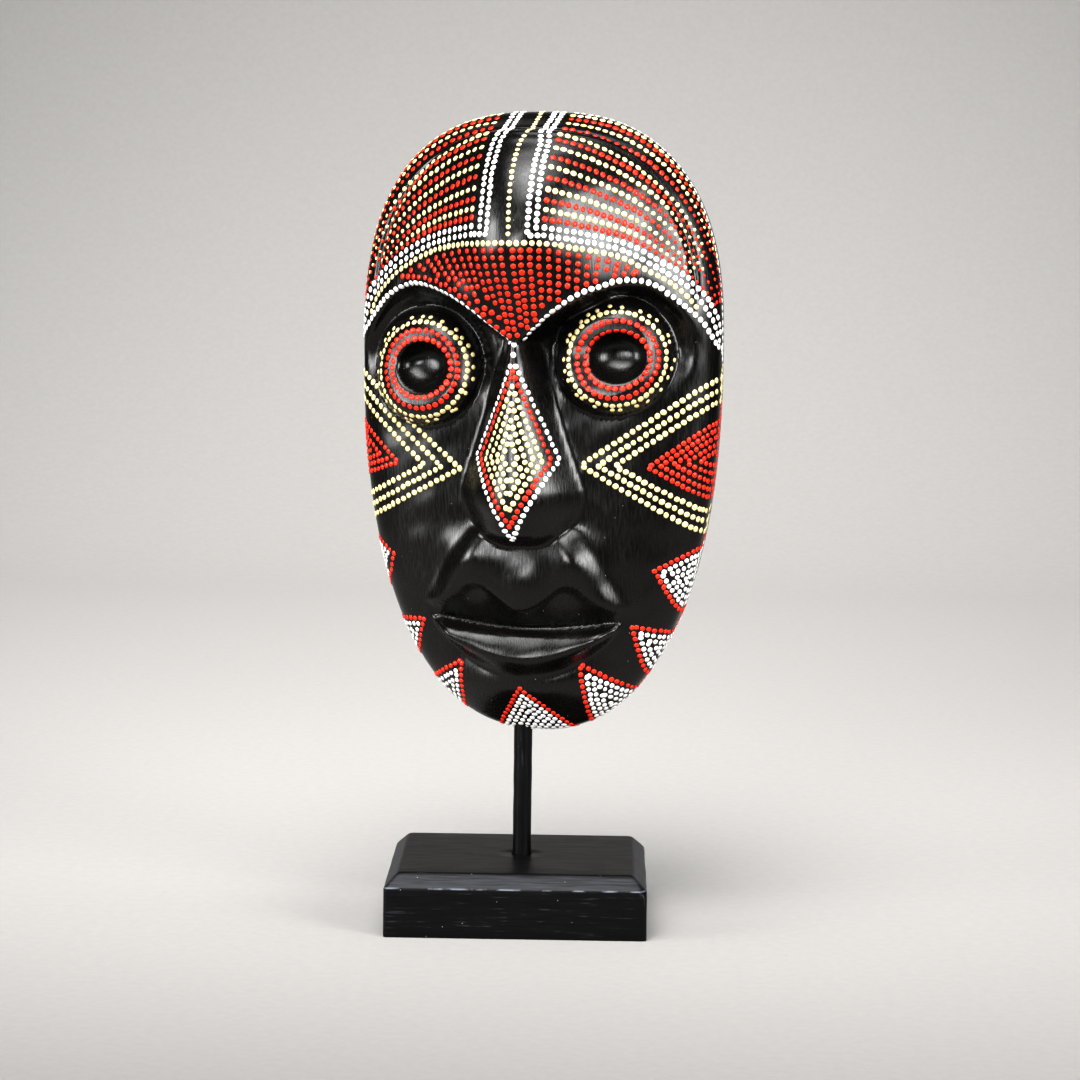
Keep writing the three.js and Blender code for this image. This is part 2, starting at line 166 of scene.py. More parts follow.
@dataclass(frozen=True)
class Carving:
    """Depth of the carved face in front of the flat back, as sums of smooth forms."""

    outline: Outline = field(default_factory=Outline)
    wall: float = 18.0
    dome: float = 31.0
    # Forehead, with the roll and groove of its cap as shares of the way to the outline
    forehead_rise: float = 38.0
    forehead_spread: float = 48.0
    forehead_edge: float = 0.925
    low_share: float = 0.45
    low_from: float = -2.0
    low_run: float = 60.0
    cap_rise: float = 11.0
    cap_width: float = 0.035
    groove_reach: float = 0.905
    groove_width: float = 0.016
    groove_depth: float = 2.6
    groove_from: float = 12.0
    groove_run: float = 40.0
    # Brow edge, and the roll that follows it
    brow_dip: float = 2.5
    brow_rise: float = 31.0
    brow_peak: float = 61.0
    brow_fall: float = 38.5
    brow_corner: float = 36.5
    brow_lean: float = 0.02
    brow_edge: float = 8.0
    brow_share: float = 0.75
    roll_rise: float = 3.5
    roll_above: float = 3.0
    roll_high: float = 12.0
    roll_outer: float = 96.0
    roll_outer_fade: float = 25.0
    roll_inner: float = 4.0
    roll_inner_fade: float = 18.0
    # Eyes
    eyes: tuple[Eye, ...] = (Eye(-55.5, -11.0, -1.0), Eye(50.5, -3.0, -4.0))
    mound_radius: float = 32.0
    mound_height: float = 18.5
    mound_top: float = 13.4
    mound_swell: float = 0.05
    mound_power: float = 0.62
    bowl_radius: float = 13.8
    bowl_stretch: float = 1.12
    bowl_depth: float = 11.5
    socket_depth: float = 6.0
    socket_radius: float = 31.0
    socket_fade: float = 12.0
    socket_lowest: float = 24.0
    socket_low_fade: float = 30.0
    # Nose
    nose_top: float = 4.0
    nose_ball: float = -74.0
    nose_bridge_half: float = 9.5
    nose_ball_half: float = 34.0
    nose_drop: float = 31.0
    nose_middle: float = -2.5
    nose_bridge_rise: float = 17.0
    nose_tip_rise: float = 8.5
    nose_tip_run: float = 95.0
    nose_broad_from: float = -35.0
    nose_broad_run: float = 45.0
    nose_under_from: float = -80.0
    nose_under_run: float = 24.0
    nose_sink: float = 2.0
    nose_sink_run: float = 16.0
    # Mouth lines, by distance from its middle
    middle: float = -1.5
    mouth_half: float = 53.5
    mouth_bend: float = 50.0
    mouth_end_share: float = 0.26
    bow_dip: float = -139.5
    bow_rise: float = 14.0
    bow_peak: float = 25.0
    bow_fall: float = 12.5
    bow_corner: float = 27.0
    bow_edge: float = 2.5
    bow_least: float = 3.0
    slit_level: float = -151.0
    slit_rise: float = 5.0
    slit_edge: float = 3.0
    # Lips, muzzle and chin
    lip_foot_level: float = -180.0
    lip_foot_rise: float = 28.0
    lip_start: float = 5.0
    lip_slant: float = 11.0
    lip_gap: float = 1.5
    lip_least: float = 5.0
    lip_full: float = 10.5
    lip_edge_dip: float = 8.0
    lip_crest_share: float = 0.5
    lip_fall_share: float = 0.45
    fold_half: float = 23.0
    fold_spread: float = 27.0
    fold_from: float = -94.0
    fold_run: float = 40.0
    muzzle_rise: float = 5.0
    muzzle_edge: float = 15.0
    muzzle_top: float = -88.0
    muzzle_fade: float = 12.0
    pads: tuple[Swelling, ...] = (
        Swelling(-1.0, -125.0, 12.0, 14.0, 4.5),
        Swelling(-27.0, -113.0, 14.0, 14.0, 5.0),
        Swelling(25.0, -113.0, 14.0, 14.0, 5.0),
    )
    chin: Swelling = Swelling(-1.0, -181.0, 40.0, 13.0, 10.0)
    snap_reach: float = 0.93

    def brow(self, u: Points) -> Points:
        """Height of the brow edge: a gull wing that dips to the bridge of the nose, in mm."""
        aside = np.abs(u - self.middle)
        inner = self.brow_dip + self.brow_rise * np.sin(
            np.pi / 2 * np.clip(aside / self.brow_peak, 0, 1)
        )
        beyond = np.clip(aside - self.brow_peak, 0, None) / self.brow_corner
        outer = self.brow_dip + self.brow_rise - self.brow_fall * beyond**2
        return np.where(aside < self.brow_peak, inner, outer) + self.brow_lean * u

    def bow(self, aside: Points) -> Points:
        """Height of the upper lip's bow, by distance from the middle of the mouth, in mm."""
        rise = self.bow_rise * smooth_step(aside / self.bow_peak)
        return self.bow_dip + rise - self.bow_fall * smooth_step(
            (aside - self.bow_peak) / self.bow_corner
        )

    def slit(self, aside: Points) -> Points:
        """Height of the line between the lips, in mm."""
        return self.slit_level + self.slit_rise * (aside / self.mouth_bend) ** 2

    def lip_foot(self, aside: Points) -> Points:
        """Height of the lower lip's foot, in mm."""
        return self.lip_foot_level + self.lip_foot_rise * (aside / self.mouth_bend) ** 2

    def _nose_half(self, w: Points) -> Points:
        """Half width of the nose at each height: a taper to the ball, then a half circle, in mm."""
        along = np.clip((self.nose_top - w) / (self.nose_top - self.nose_ball), 0, 1)
        taper = self.nose_bridge_half + (self.nose_ball_half - self.nose_bridge_half) * along**1.05
        round_end = np.sqrt(np.clip(1 - ((self.nose_ball - w) / self.nose_drop) ** 2, 1e-4, 1))
        return np.where(w > self.nose_ball, taper, self.nose_ball_half * round_end)

    def _forehead(self, u: Points, w: Points, far: Points, above: Points) -> tuple[Points, Points]:
        """The bulging forehead by itself, and the cap roll, groove and brow roll that trim it."""
        rounded = np.clip(1 - np.clip(far / self.forehead_edge, 0, 1) ** 6, 0, None) ** 0.45
        low = self.low_share + (1 - self.low_share) * smooth_step(
            (w - self.low_from) / self.low_run
        )
        mass = self.forehead_rise * bell(u / self.forehead_spread) * rounded * low * above
        roll = bell(u / self.forehead_spread) * bell((far - self.forehead_edge) / self.cap_width)
        trim = self.cap_rise * roll * smooth_step(w / self.low_run)
        groove = bell((far - self.groove_reach) / self.groove_width)
        trim = trim - self.groove_depth * groove * smooth_step(
            (w - self.groove_from) / self.groove_run
        )
        fade = smooth_step((self.roll_outer - np.abs(u)) / self.roll_outer_fade)
        fade = fade * smooth_step((np.abs(u) - self.roll_inner) / self.roll_inner_fade)
        brow_roll = self.roll_rise * bell((w - self.brow(u) - self.roll_above) / self.roll_high)
        return mass, trim + brow_roll * fade * above * (1 - far**10)

    def _eyes(self, u: Points, w: Points, below: Points) -> Points:
        """Each eye: a leaning, flat-topped mound, a bowl in its top, and a socket over it."""
        rise = np.zeros(np.shape(u))
        for eye in self.eyes:
            foot = np.hypot(u - eye.u - eye.lean, w - eye.w)
            upper = smooth_step((w - eye.w + self.socket_lowest) / self.socket_low_fade)
            near = 1 - smooth_step((foot - self.socket_radius) / self.socket_fade)
            rise = rise - self.socket_depth * near * below * upper
            mound = np.clip(1 - (foot / self.mound_radius) ** 2, 0, None) ** self.mound_power
            mound = self.mound_height * mound
            swell = self.mound_swell * np.clip(mound - self.mound_top, 0, None)
            ring = np.hypot((u - eye.u) / self.bowl_stretch, w - eye.w) / self.bowl_radius
            bowl = self.bowl_depth * np.clip(1 - ring**2.8, 0, None) ** 0.8
            rise = rise + (
                np.minimum(mound, self.mound_top) + swell - bowl
            ) * smooth_step(below * 1.5)
        return rise

    def _nose(self, u: Points, w: Points) -> Points:
        """Nose: a ridge that widens from the bridge to a rounded ball, cut away underneath."""
        along = np.clip((self.nose_top - w) / (self.nose_top - self.nose_ball), 0, 1)
        aside = np.abs(u - self.nose_middle - along) / self._nose_half(w)
        broad = smooth_step((self.nose_broad_from - w) / self.nose_broad_run)
        across = np.clip(1 - aside**2, 0, None) ** (1.5 - 0.3 * broad)
        cut = np.clip(self.nose_under_from - w, 0, None) / self.nose_under_run
        under = np.clip(1 - cut**2, 0, None) ** 0.7
        tip = smooth_step((self.nose_top - w) / self.nose_tip_run)
        rise = self.nose_bridge_rise + self.nose_tip_rise * tip
        return rise * across * under * (1 - smooth_step((w - self.nose_sink) / self.nose_sink_run))

    def _muzzle(self, u: Points, w: Points) -> Points:
        """Muzzle: a tent that widens from the nose to the mouth's corners, with three soft pads."""
        down = np.clip((self.fold_from - w) / self.fold_run, 0, 1.4)
        fold = self.fold_half + self.fold_spread * down**0.9
        tent = self.muzzle_rise * smooth_step(
            (fold - np.abs(u - self.middle)) / self.muzzle_edge + 0.5
        )
        for pad in self.pads:
            tent = tent + pad.lift(u, w)
        return tent

    def _mouth(self, u: Points, w: Points) -> Points:
        """Muzzle down to the bow, the upper lip's slant and the lower lip's full roll."""
        aside = np.abs(u - self.middle)
        bow, slit, foot = self.bow(aside), self.slit(aside), self.lip_foot(aside)
        over_bow = smooth_step((w - bow) / self.bow_edge + 0.5)
        under_slit = smooth_step((slit - w) / self.slit_edge + 0.5)
        ends = smooth_step((1.0 - aside / self.mouth_half) / self.mouth_end_share)
        back = np.clip((bow - w) / np.maximum(bow - slit, self.bow_least), 0, 1)
        upper = (self.lip_start - self.lip_slant * back**0.9) * (1 - over_bow) * (1 - under_slit)
        height = np.maximum(slit + self.lip_gap - foot, self.lip_least)
        down = np.clip((slit + self.lip_gap - w) / height, 0, 1)
        full = self.lip_full - self.lip_edge_dip * np.clip(
            1 - down / self.lip_crest_share, 0, 1
        ) ** 2
        lower = full * (1 - smooth_step((down - self.lip_fall_share) / self.lip_fall_share))
        muzzle = self._muzzle(u, w) * over_bow * smooth_step(
            (self.muzzle_top - w) / self.muzzle_fade
        )
        return muzzle + (upper + lower * under_slit) * ends

    def depth(self, u: Points, w: Points) -> Points:
        """Depth of the face in front of the flat back.

        Args:
            u: Places across, in mm.
            w: Places up, in mm.

        Returns:
            Depths in mm.
        """
        far = np.clip(self.outline.reach(u, w), 0, 1)
        plain = self.wall + self.dome * np.clip(1 - far**2.3, 0, None) ** 0.435
        above = smooth_step((w - self.brow(u)) / self.brow_edge + self.brow_share)
        mass, trim = self._forehead(u, w, far, above)
        nose = np.maximum(self._nose(u, w) - mass, 0)
        chin = self.chin.lift(u, w) * (1 - far**12)
        return plain + mass + trim + self._eyes(u, w, 1 - above) + nose + self._mouth(u, w) + chin

    def _creases(self, u: Points, w: Points) -> list[tuple[Points, Points]]:
        """Shifts that bring each place onto each line where the carving turns sharply."""
        shifts = []

        def onto_circle(
            middle_u: float, middle_w: float, radius: float, stretch: float = 1.0
        ) -> None:
            """Add the shift onto an upright oval about a centre."""
            du, dw = (u - middle_u) / stretch, w - middle_w
            share = radius / np.maximum(np.hypot(du, dw), 1.0) - 1.0
            shifts.append((du * share * stretch, dw * share))

        shoulder = math.sqrt(1 - (self.mound_top / self.mound_height) ** (1 / self.mound_power))
        for eye in self.eyes:
            onto_circle(eye.u + eye.lean, eye.w, self.mound_radius)
            onto_circle(eye.u + eye.lean, eye.w, self.mound_radius * shoulder)
            onto_circle(eye.u, eye.w, self.bowl_radius, self.bowl_stretch)
        aside = np.abs(u - self.middle)
        along = np.clip((self.nose_top - w) / (self.nose_top - self.nose_ball), 0, 1)
        ridge = self.nose_middle + along
        on_nose = (w < self.nose_top) & (w > self.nose_ball - self.nose_drop)
        side = ridge + np.sign(u - ridge) * self._nose_half(w)
        shifts.append((np.where(on_nose, side - u, np.inf), np.zeros(np.shape(u))))
        bow, slit = self.bow(aside), self.slit(aside)
        for line in (bow, slit - self.slit_edge / 2, slit, slit + self.slit_edge / 2):
            shifts.append(
                (np.zeros(np.shape(u)), np.where(aside < self.mouth_half, line - w, np.inf))
            )
        return shifts

    def snap(self, u: Points, w: Points, catch: float) -> tuple[Points, Points]:
        """Move grid places onto the nearest crease, so that mesh edges follow it.

        Args:
            u: Places across, in mm.
            w: Places up, in mm.
            catch: Farthest shift, about half a cell, in mm.

        Returns:
            The places after the move.
        """
        shifts = self._creases(u, w)
        lengths = np.stack([np.hypot(du, dw) for du, dw in shifts])
        nearest = lengths.argmin(axis=0)[None]
        moved = (lengths.min(axis=0) < catch) & (self.outline.reach(u, w) < self.snap_reach)
        du = np.take_along_axis(np.stack([s[0] for s in shifts]), nearest, 0)[0]
        dw = np.take_along_axis(np.stack([s[1] for s in shifts]), nearest, 0)[0]
        return u + np.where(moved, du, 0), w + np.where(moved, dw, 0)


@dataclass(frozen=True)
class Stance:
    """Where the mask stands in the row's frame: turned on its rod, a little off its middle."""

    turn: float = math.radians(14.0)
    rod_x: float = 2.0
    rod_u: float = -7.0
    rod_v: float = 19.0
    widest: float = 307.0

    def row(self, u: Points, v: Points, w: Points) -> Points:
        """Turn mask places into row places.

        Args:
            u: Places across, in mm.
            v: Depths in front of the flat back, in mm.
            w: Places up, in mm.

        Returns:
            Row places in mm, with X, Y and Z along the last axis.
        """
        side, deep = u - self.rod_u, v - self.rod_v
        x = self.rod_x + side * math.cos(self.turn) - deep * math.sin(self.turn)
        y = -side * math.sin(self.turn) - deep * math.cos(self.turn)
        return np.stack([x, y, self.widest + w], axis=-1)


@dataclass(frozen=True)
class Skin:
    """The painted surface of the mask, drawn in a little so that the dots stay inside its size."""

    carving: Carving = field(default_factory=Carving)
    stance: Stance = field(default_factory=Stance)
    inset: float = 0.9
    draft: float = 2.5
    unevenness: float = 0.22
    wave: float = 17.0
    even_margin: float = 20.0
    seed: int = 3

    def sheet(self, u: Points, w: Points) -> Points:
        """Row places of the skin; a place outside the outline lies that far back on the side wall.

        Args:
            u: Places across, in mm.
            w: Places up, in mm.

        Returns:
            Row places in mm.
        """
        u, w = np.asarray(u, float), np.asarray(w, float)
        angle, out = np.arctan2(w, u), np.hypot(u, w)
        edge, wall = self.carving.outline.radius(angle), self.carving.wall
        back = np.clip(out - edge, 0, wall)
        inside = out <= edge
        cos, sin = np.cos(angle), np.sin(angle)
        deep = self.carving.depth(np.where(inside, u, edge * cos), np.where(inside, w, edge * sin))
        uneven = self.unevenness * ripple(u, w, self.wave, self.seed)
        uneven = uneven * smooth_step((edge - out) / self.even_margin)
        v = np.where(inside, deep - self.inset + uneven, (wall - back) * (1 - self.inset / wall))
        tapered = edge - self.inset - self.draft * back / wall
        drawn = np.where(inside, out * (edge - self.inset) / edge, tapered)
        return self.stance.row(drawn * cos, v, drawn * sin)

    def normal(self, u: Points, w: Points, step: float = 0.5) -> Points:
        """Outward unit normals of the skin, from central differences.

        Args:
            u: Places across, in mm.
            w: Places up, in mm.
            step: Distance of the differences, in mm.

        Returns:
            Unit vectors along the last axis.
        """
        across = self.sheet(u + step, w) - self.sheet(u - step, w)
        up = self.sheet(u, w + step) - self.sheet(u, w - step)
        normal = np.cross(across, up)
        return normal / np.linalg.norm(normal, axis=-1, keepdims=True)


def add_node(
    tree: Tree, kind: str, settings: dict | None = None, links: dict | None = None
) -> bpy.types.Node:
    """Add a shader node with its settings and links.

    Inputs that share a name go by number. A Map Range takes its value at 0, the range in at 1
    and 2, and the range out at 3 and 4. A colour Mix has its share at 0 and its colours at 6 and 7.

    Args:
        tree: Node tree of the material.
        kind: Node type after "ShaderNode", such as "Bump".
        settings: Values by attribute name or by input name or number.
        links: Sockets, or nodes for their first output, by input name or number.

    Returns:
        The new node.
    """
    node = tree.nodes.new("ShaderNode" + kind)
    for name, value in (settings or {}).items():
        if isinstance(name, str) and hasattr(node, name):
            setattr(node, name, value)
        else:
            node.inputs[name].default_value = value
    for name, source in (links or {}).items():
        socket = source.outputs[0] if isinstance(source, bpy.types.Node) else source
        tree.links.new(socket, node.inputs[name])
    return node


def new_material(name: str) -> tuple[Material, Tree]:
    """An empty node material and its tree."""
    material = bpy.data.materials.new(name)
    material.use_nodes = True
    material.node_tree.nodes.clear()
    return material, material.node_tree


def add_dust(tree: Tree, place: Socket, under: Socket, kept: float) -> Socket:
    """Lay pale dust specks, half a millimetre wide, over a colour.

    Args:
        tree: Node tree of the material.
        place: Object coordinates.
        under: Colour below the dust.
        kept: Share of the places, one in each 4.5 mm, that stay clean.

    Returns:
        The colour with its dust.
    """
    specks = add_node(tree, "TexVoronoi", {"Scale": 1 / (4.5 * MM)}, {"Vector": place})
    near = add_node(
        tree, "Math", {"operation": "LESS_THAN", 1: 0.055}, {0: specks.outputs["Distance"]}
    )
    some = add_node(tree, "SeparateColor", {}, {0: specks.outputs["Color"]})
    rare = add_node(tree, "Math", {"operation": "GREATER_THAN", 1: kept}, {0: some})
    dust = add_node(tree, "Math", {"operation": "MULTIPLY"}, {0: near, 1: rare})
    dusty = add_node(tree, "Mix", {"data_type": "RGBA", 7: linear("8d8a86")}, {0: dust, 6: under})
    return dusty.outputs[2]


def new_piece(
    name: str, points: Points, faces: list[Points], materials: list[Material], slots: list[int]
) -> bpy.types.Object:
    """Make a smooth mesh object that rides on the part's body.

    Args:
        name: Name of the piece.
        points: Row places in mm, one a row.
        faces: Arrays of faces, each with one corner count.
        materials: Materials of the piece.
        slots: Material number of each array of faces.

    Returns:
        The linked object, at the origin.
    """
    corners = np.concatenate([f.ravel() for f in faces]).astype(np.int32)
    counts = np.concatenate([np.full(len(f), f.shape[1]) for f in faces]).astype(np.int32)
    mesh = bpy.data.meshes.new(name)
    mesh.vertices.add(len(points))
    mesh.vertices.foreach_set("co", (points * MM).astype(np.float32).ravel())
    mesh.loops.add(len(corners))
    mesh.loops.foreach_set("vertex_index", corners)
    mesh.polygons.add(len(counts))
    mesh.polygons.foreach_set(
        "loop_start", np.concatenate([[0], np.cumsum(counts)[:-1]]).astype(np.int32)
    )
    mesh.polygons.foreach_set("use_smooth", np.ones(len(counts), bool))
    mesh.polygons.foreach_set(
        "material_index", np.repeat(slots, [len(f) for f in faces]).astype(np.int32)
    )
    for material in materials:
        mesh.materials.append(material)
    mesh.update(calc_edges=True)
    mesh.validate()
    piece = bpy.data.objects.new(name, mesh)
    bpy.context.scene.collection.objects.link(piece)
    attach(piece, BODY)
    log.info("%s: %d points, %d faces", name, len(points), len(counts))
    return piece


@dataclass(frozen=True)
class LacquerFinish:
    """Black lacquer over carved wood: a hard, glossy film with fine brush marks and dust specks."""

    name: str = "black gloss lacquer on wood"
    deep: str = "060505"
    lit: str = "110f0d"
    roughness: tuple[float, float] = (0.18, 0.34)
    stroke: float = 0.9
    relief: float = 0.07
    clean: float = 0.72

    def build(self) -> Material:
        """Make the material; an IOR near 1.5 and a roughness near 0.3 are those of lacquer."""
        material, tree = new_material(self.name)
        place = add_node(tree, "TexCoord").outputs["Object"]
        strokes = add_node(tree, "Mapping", {"Scale": (1.0, 1.0, 0.12)}, {"Vector": place})
        brush = add_node(
            tree, "TexNoise", {"Scale": 1 / (self.stroke * MM), "Detail": 3.0}, {"Vector": strokes}
        )
        cloud = add_node(
            tree, "TexNoise", {"Scale": 1 / (14 * MM), "Detail": 4.0}, {"Vector": place}
        )
        tone = add_node(
            tree,
            "Mix",
            {"data_type": "RGBA", 6: linear(self.deep), 7: linear(self.lit)},
            {0: cloud},
        )
        rough = add_node(
            tree,
            "MapRange",
            {1: 0.3, 2: 0.7, 3: self.roughness[0], 4: self.roughness[1]},
            {0: brush},
        )
        bump = add_node(
            tree, "Bump", {"Strength": 1.0, "Distance": self.relief * MM}, {"Height": brush}
        )
        shader = add_node(
            tree,
            "BsdfPrincipled",
            {"IOR": 1.46, "Coat Weight": 0.1, "Coat Roughness": 0.1},
            {
                "Base Color": add_dust(tree, place, tone.outputs[2], self.clean),
                "Roughness": rough,
                "Normal": bump,
            },
        )
        add_node(tree, "OutputMaterial", {}, {0: shader})
        return material


@dataclass(frozen=True)
class StandFinish:
    """Black satin paint over sawn wood: fine ridges of grain, rubbed pale here and there.

    The sheen band holds the heights, in mm, of the chamfer, which gets streaks of painted
    sheen. Its lower edge gets a narrow bright line of painted highlight.
    """

    name: str
    along: tuple[float, float, float]
    tone: str = "040404"
    grain: str = "0d0c0d"
    # The rubbed colour shows in rubbed patches here and there, and also as the painted sheen on the
    # chamfer.
    rubbed: str = "3c3d42"
    # The edge colour is a painted highlight along the lower edge of the chamfer.
    edge: str = "666a72"
    sheen_band: tuple[float, float] = (1.0e3, 1.0e3)
    clean: float = 0.6

    def _levels(self, tree: Tree, height: Socket, marks: tuple[float, ...]) -> Socket:
        """Share: 0 below the first mark, 1 from the second to the third, 0 above the fourth."""
        rise = add_node(
            tree, "MapRange", {1: marks[0] * MM, 2: marks[1] * MM, 3: 0.0, 4: 1.0}, {0: height}
        )
        fall = add_node(
            tree, "MapRange", {1: marks[2] * MM, 2: marks[3] * MM, 3: 1.0, 4: 0.0}, {0: height}
        )
        return add_node(tree, "Math", {"operation": "MULTIPLY"}, {0: rise, 1: fall}).outputs[0]

    def build(self) -> Material:
        """Make the material; satin paint has a roughness near 0.4, and a low IOR under dust."""
        material, tree = new_material(self.name)
        place = add_node(tree, "TexCoord").outputs["Object"]
        lengthwise = add_node(tree, "Mapping", {"Scale": self.along}, {"Vector": place})
        grain = add_node(
            tree, "TexNoise", {"Scale": 1 / (1.1 * MM), "Detail": 4.0}, {"Vector": lengthwise}
        )
        cloud = add_node(
            tree, "TexNoise", {"Scale": 1 / (7 * MM), "Detail": 5.0}, {"Vector": place}
        )
        lines = add_node(tree, "MapRange", {1: 0.6, 2: 0.72, 3: 0.0, 4: 0.7}, {0: grain})
        patches = add_node(tree, "MapRange", {1: 0.45, 2: 0.6, 3: 0.0, 4: 1.0}, {0: cloud})
        rubbed = add_node(tree, "Math", {"operation": "MULTIPLY"}, {0: lines, 1: patches})
        low, high = self.sheen_band
        height = add_node(tree, "SeparateXYZ", {}, {0: place}).outputs[2]
        # Painted sheen: streaks of the rubbed colour over the chamfer's heights, where light falls
        # on the slope.
        band = self._levels(tree, height, (low, low + 0.6, high - 1.0, high))
        streaks = add_node(tree, "MapRange", {1: 0.3, 2: 0.75, 3: 0.1, 4: 0.9}, {0: grain})
        painted_chamfer_sheen = add_node(tree, "Math", {"operation": "MULTIPLY"}, {0: band, 1: streaks})
        # Share of the rubbed colour: real wear patches, and the chamfer's painted sheen.
        pale = add_node(tree, "Math", {"operation": "MAXIMUM"}, {0: painted_chamfer_sheen, 1: rubbed})
        # Painted highlight: a bright line just under the chamfer, broken up by the patches.
        line = self._levels(tree, height, (low - 0.5, low - 0.1, low + 0.2, low + 0.6))
        painted_edge_highlight = add_node(tree, "Math", {"operation": "MULTIPLY"}, {0: line, 1: patches})
        paint = add_node(
            tree,
            "Mix",
            {"data_type": "RGBA", 6: linear(self.tone), 7: linear(self.grain)},
            {0: grain},
        )
        wear_and_sheen = add_node(
            tree,
            "Mix",
            {"data_type": "RGBA", 7: linear(self.rubbed)},
            {0: pale, 6: paint.outputs[2]},
        )
        # Lay the painted highlight line over the paint and the sheen.
        tone = add_node(
            tree, "Mix", {"data_type": "RGBA", 7: linear(self.edge)}, {0: painted_edge_highlight, 6: wear_and_sheen.outputs[2]}
        )
        rough = add_node(tree, "MapRange", {1: 0.3, 2: 0.7, 3: 0.34, 4: 0.46}, {0: grain})
        bump = add_node(tree, "Bump", {"Strength": 1.0, "Distance": 0.12 * MM}, {"Height": grain})
        shader = add_node(
            tree,
            "BsdfPrincipled",
            {"IOR": 1.28},
            {
                "Base Color": add_dust(tree, place, tone.outputs[2], self.clean),
                "Roughness": rough,
                "Normal": bump,
            },
        )
        add_node(tree, "OutputMaterial", {}, {0: shader})
        return material


@dataclass(frozen=True)
class DotFinish:
    """Thick gloss paint set down in drops, a little uneven in colour."""

    name: str
    colour: str
    shade: str

    def build(self) -> Material:
        """Make the material; gloss paint has an IOR near 1.5 and a roughness near 0.3."""
        material, tree = new_material(self.name)
        place = add_node(tree, "TexCoord").outputs["Object"]
        cloud = add_node(
            tree, "TexNoise", {"Scale": 1 / (2.2 * MM), "Detail": 3.0}, {"Vector": place}
        )
        share = add_node(tree, "MapRange", {1: 0.45, 2: 0.75, 3: 0.0, 4: 1.0}, {0: cloud})
        tone = add_node(
            tree,
            "Mix",
            {"data_type": "RGBA", 6: linear(self.colour), 7: linear(self.shade)},
            {0: share},
        )
        bump = add_node(tree, "Bump", {"Strength": 1.0, "Distance": 0.06 * MM}, {"Height": cloud})
        shader = add_node(
            tree,
            "BsdfPrincipled",
            {"IOR": 1.5, "Roughness": 0.32},
            {"Base Color": tone.outputs[2], "Normal": bump},
        )
        add_node(tree, "OutputMaterial", {}, {0: shader})
        return material


class Ink(Enum):
    """Colours of the dots, with the finish and the piece of each."""

    RED = ("red_dots", DotFinish("vermilion gloss paint", "dc3212", "bc220a"))
    CREAM = ("cream_dots", DotFinish("cream gloss paint", "dfd1a0", "cab881"))
    WHITE = ("white_dots", DotFinish("white gloss paint", "e6e5e3", "cfcdca"))


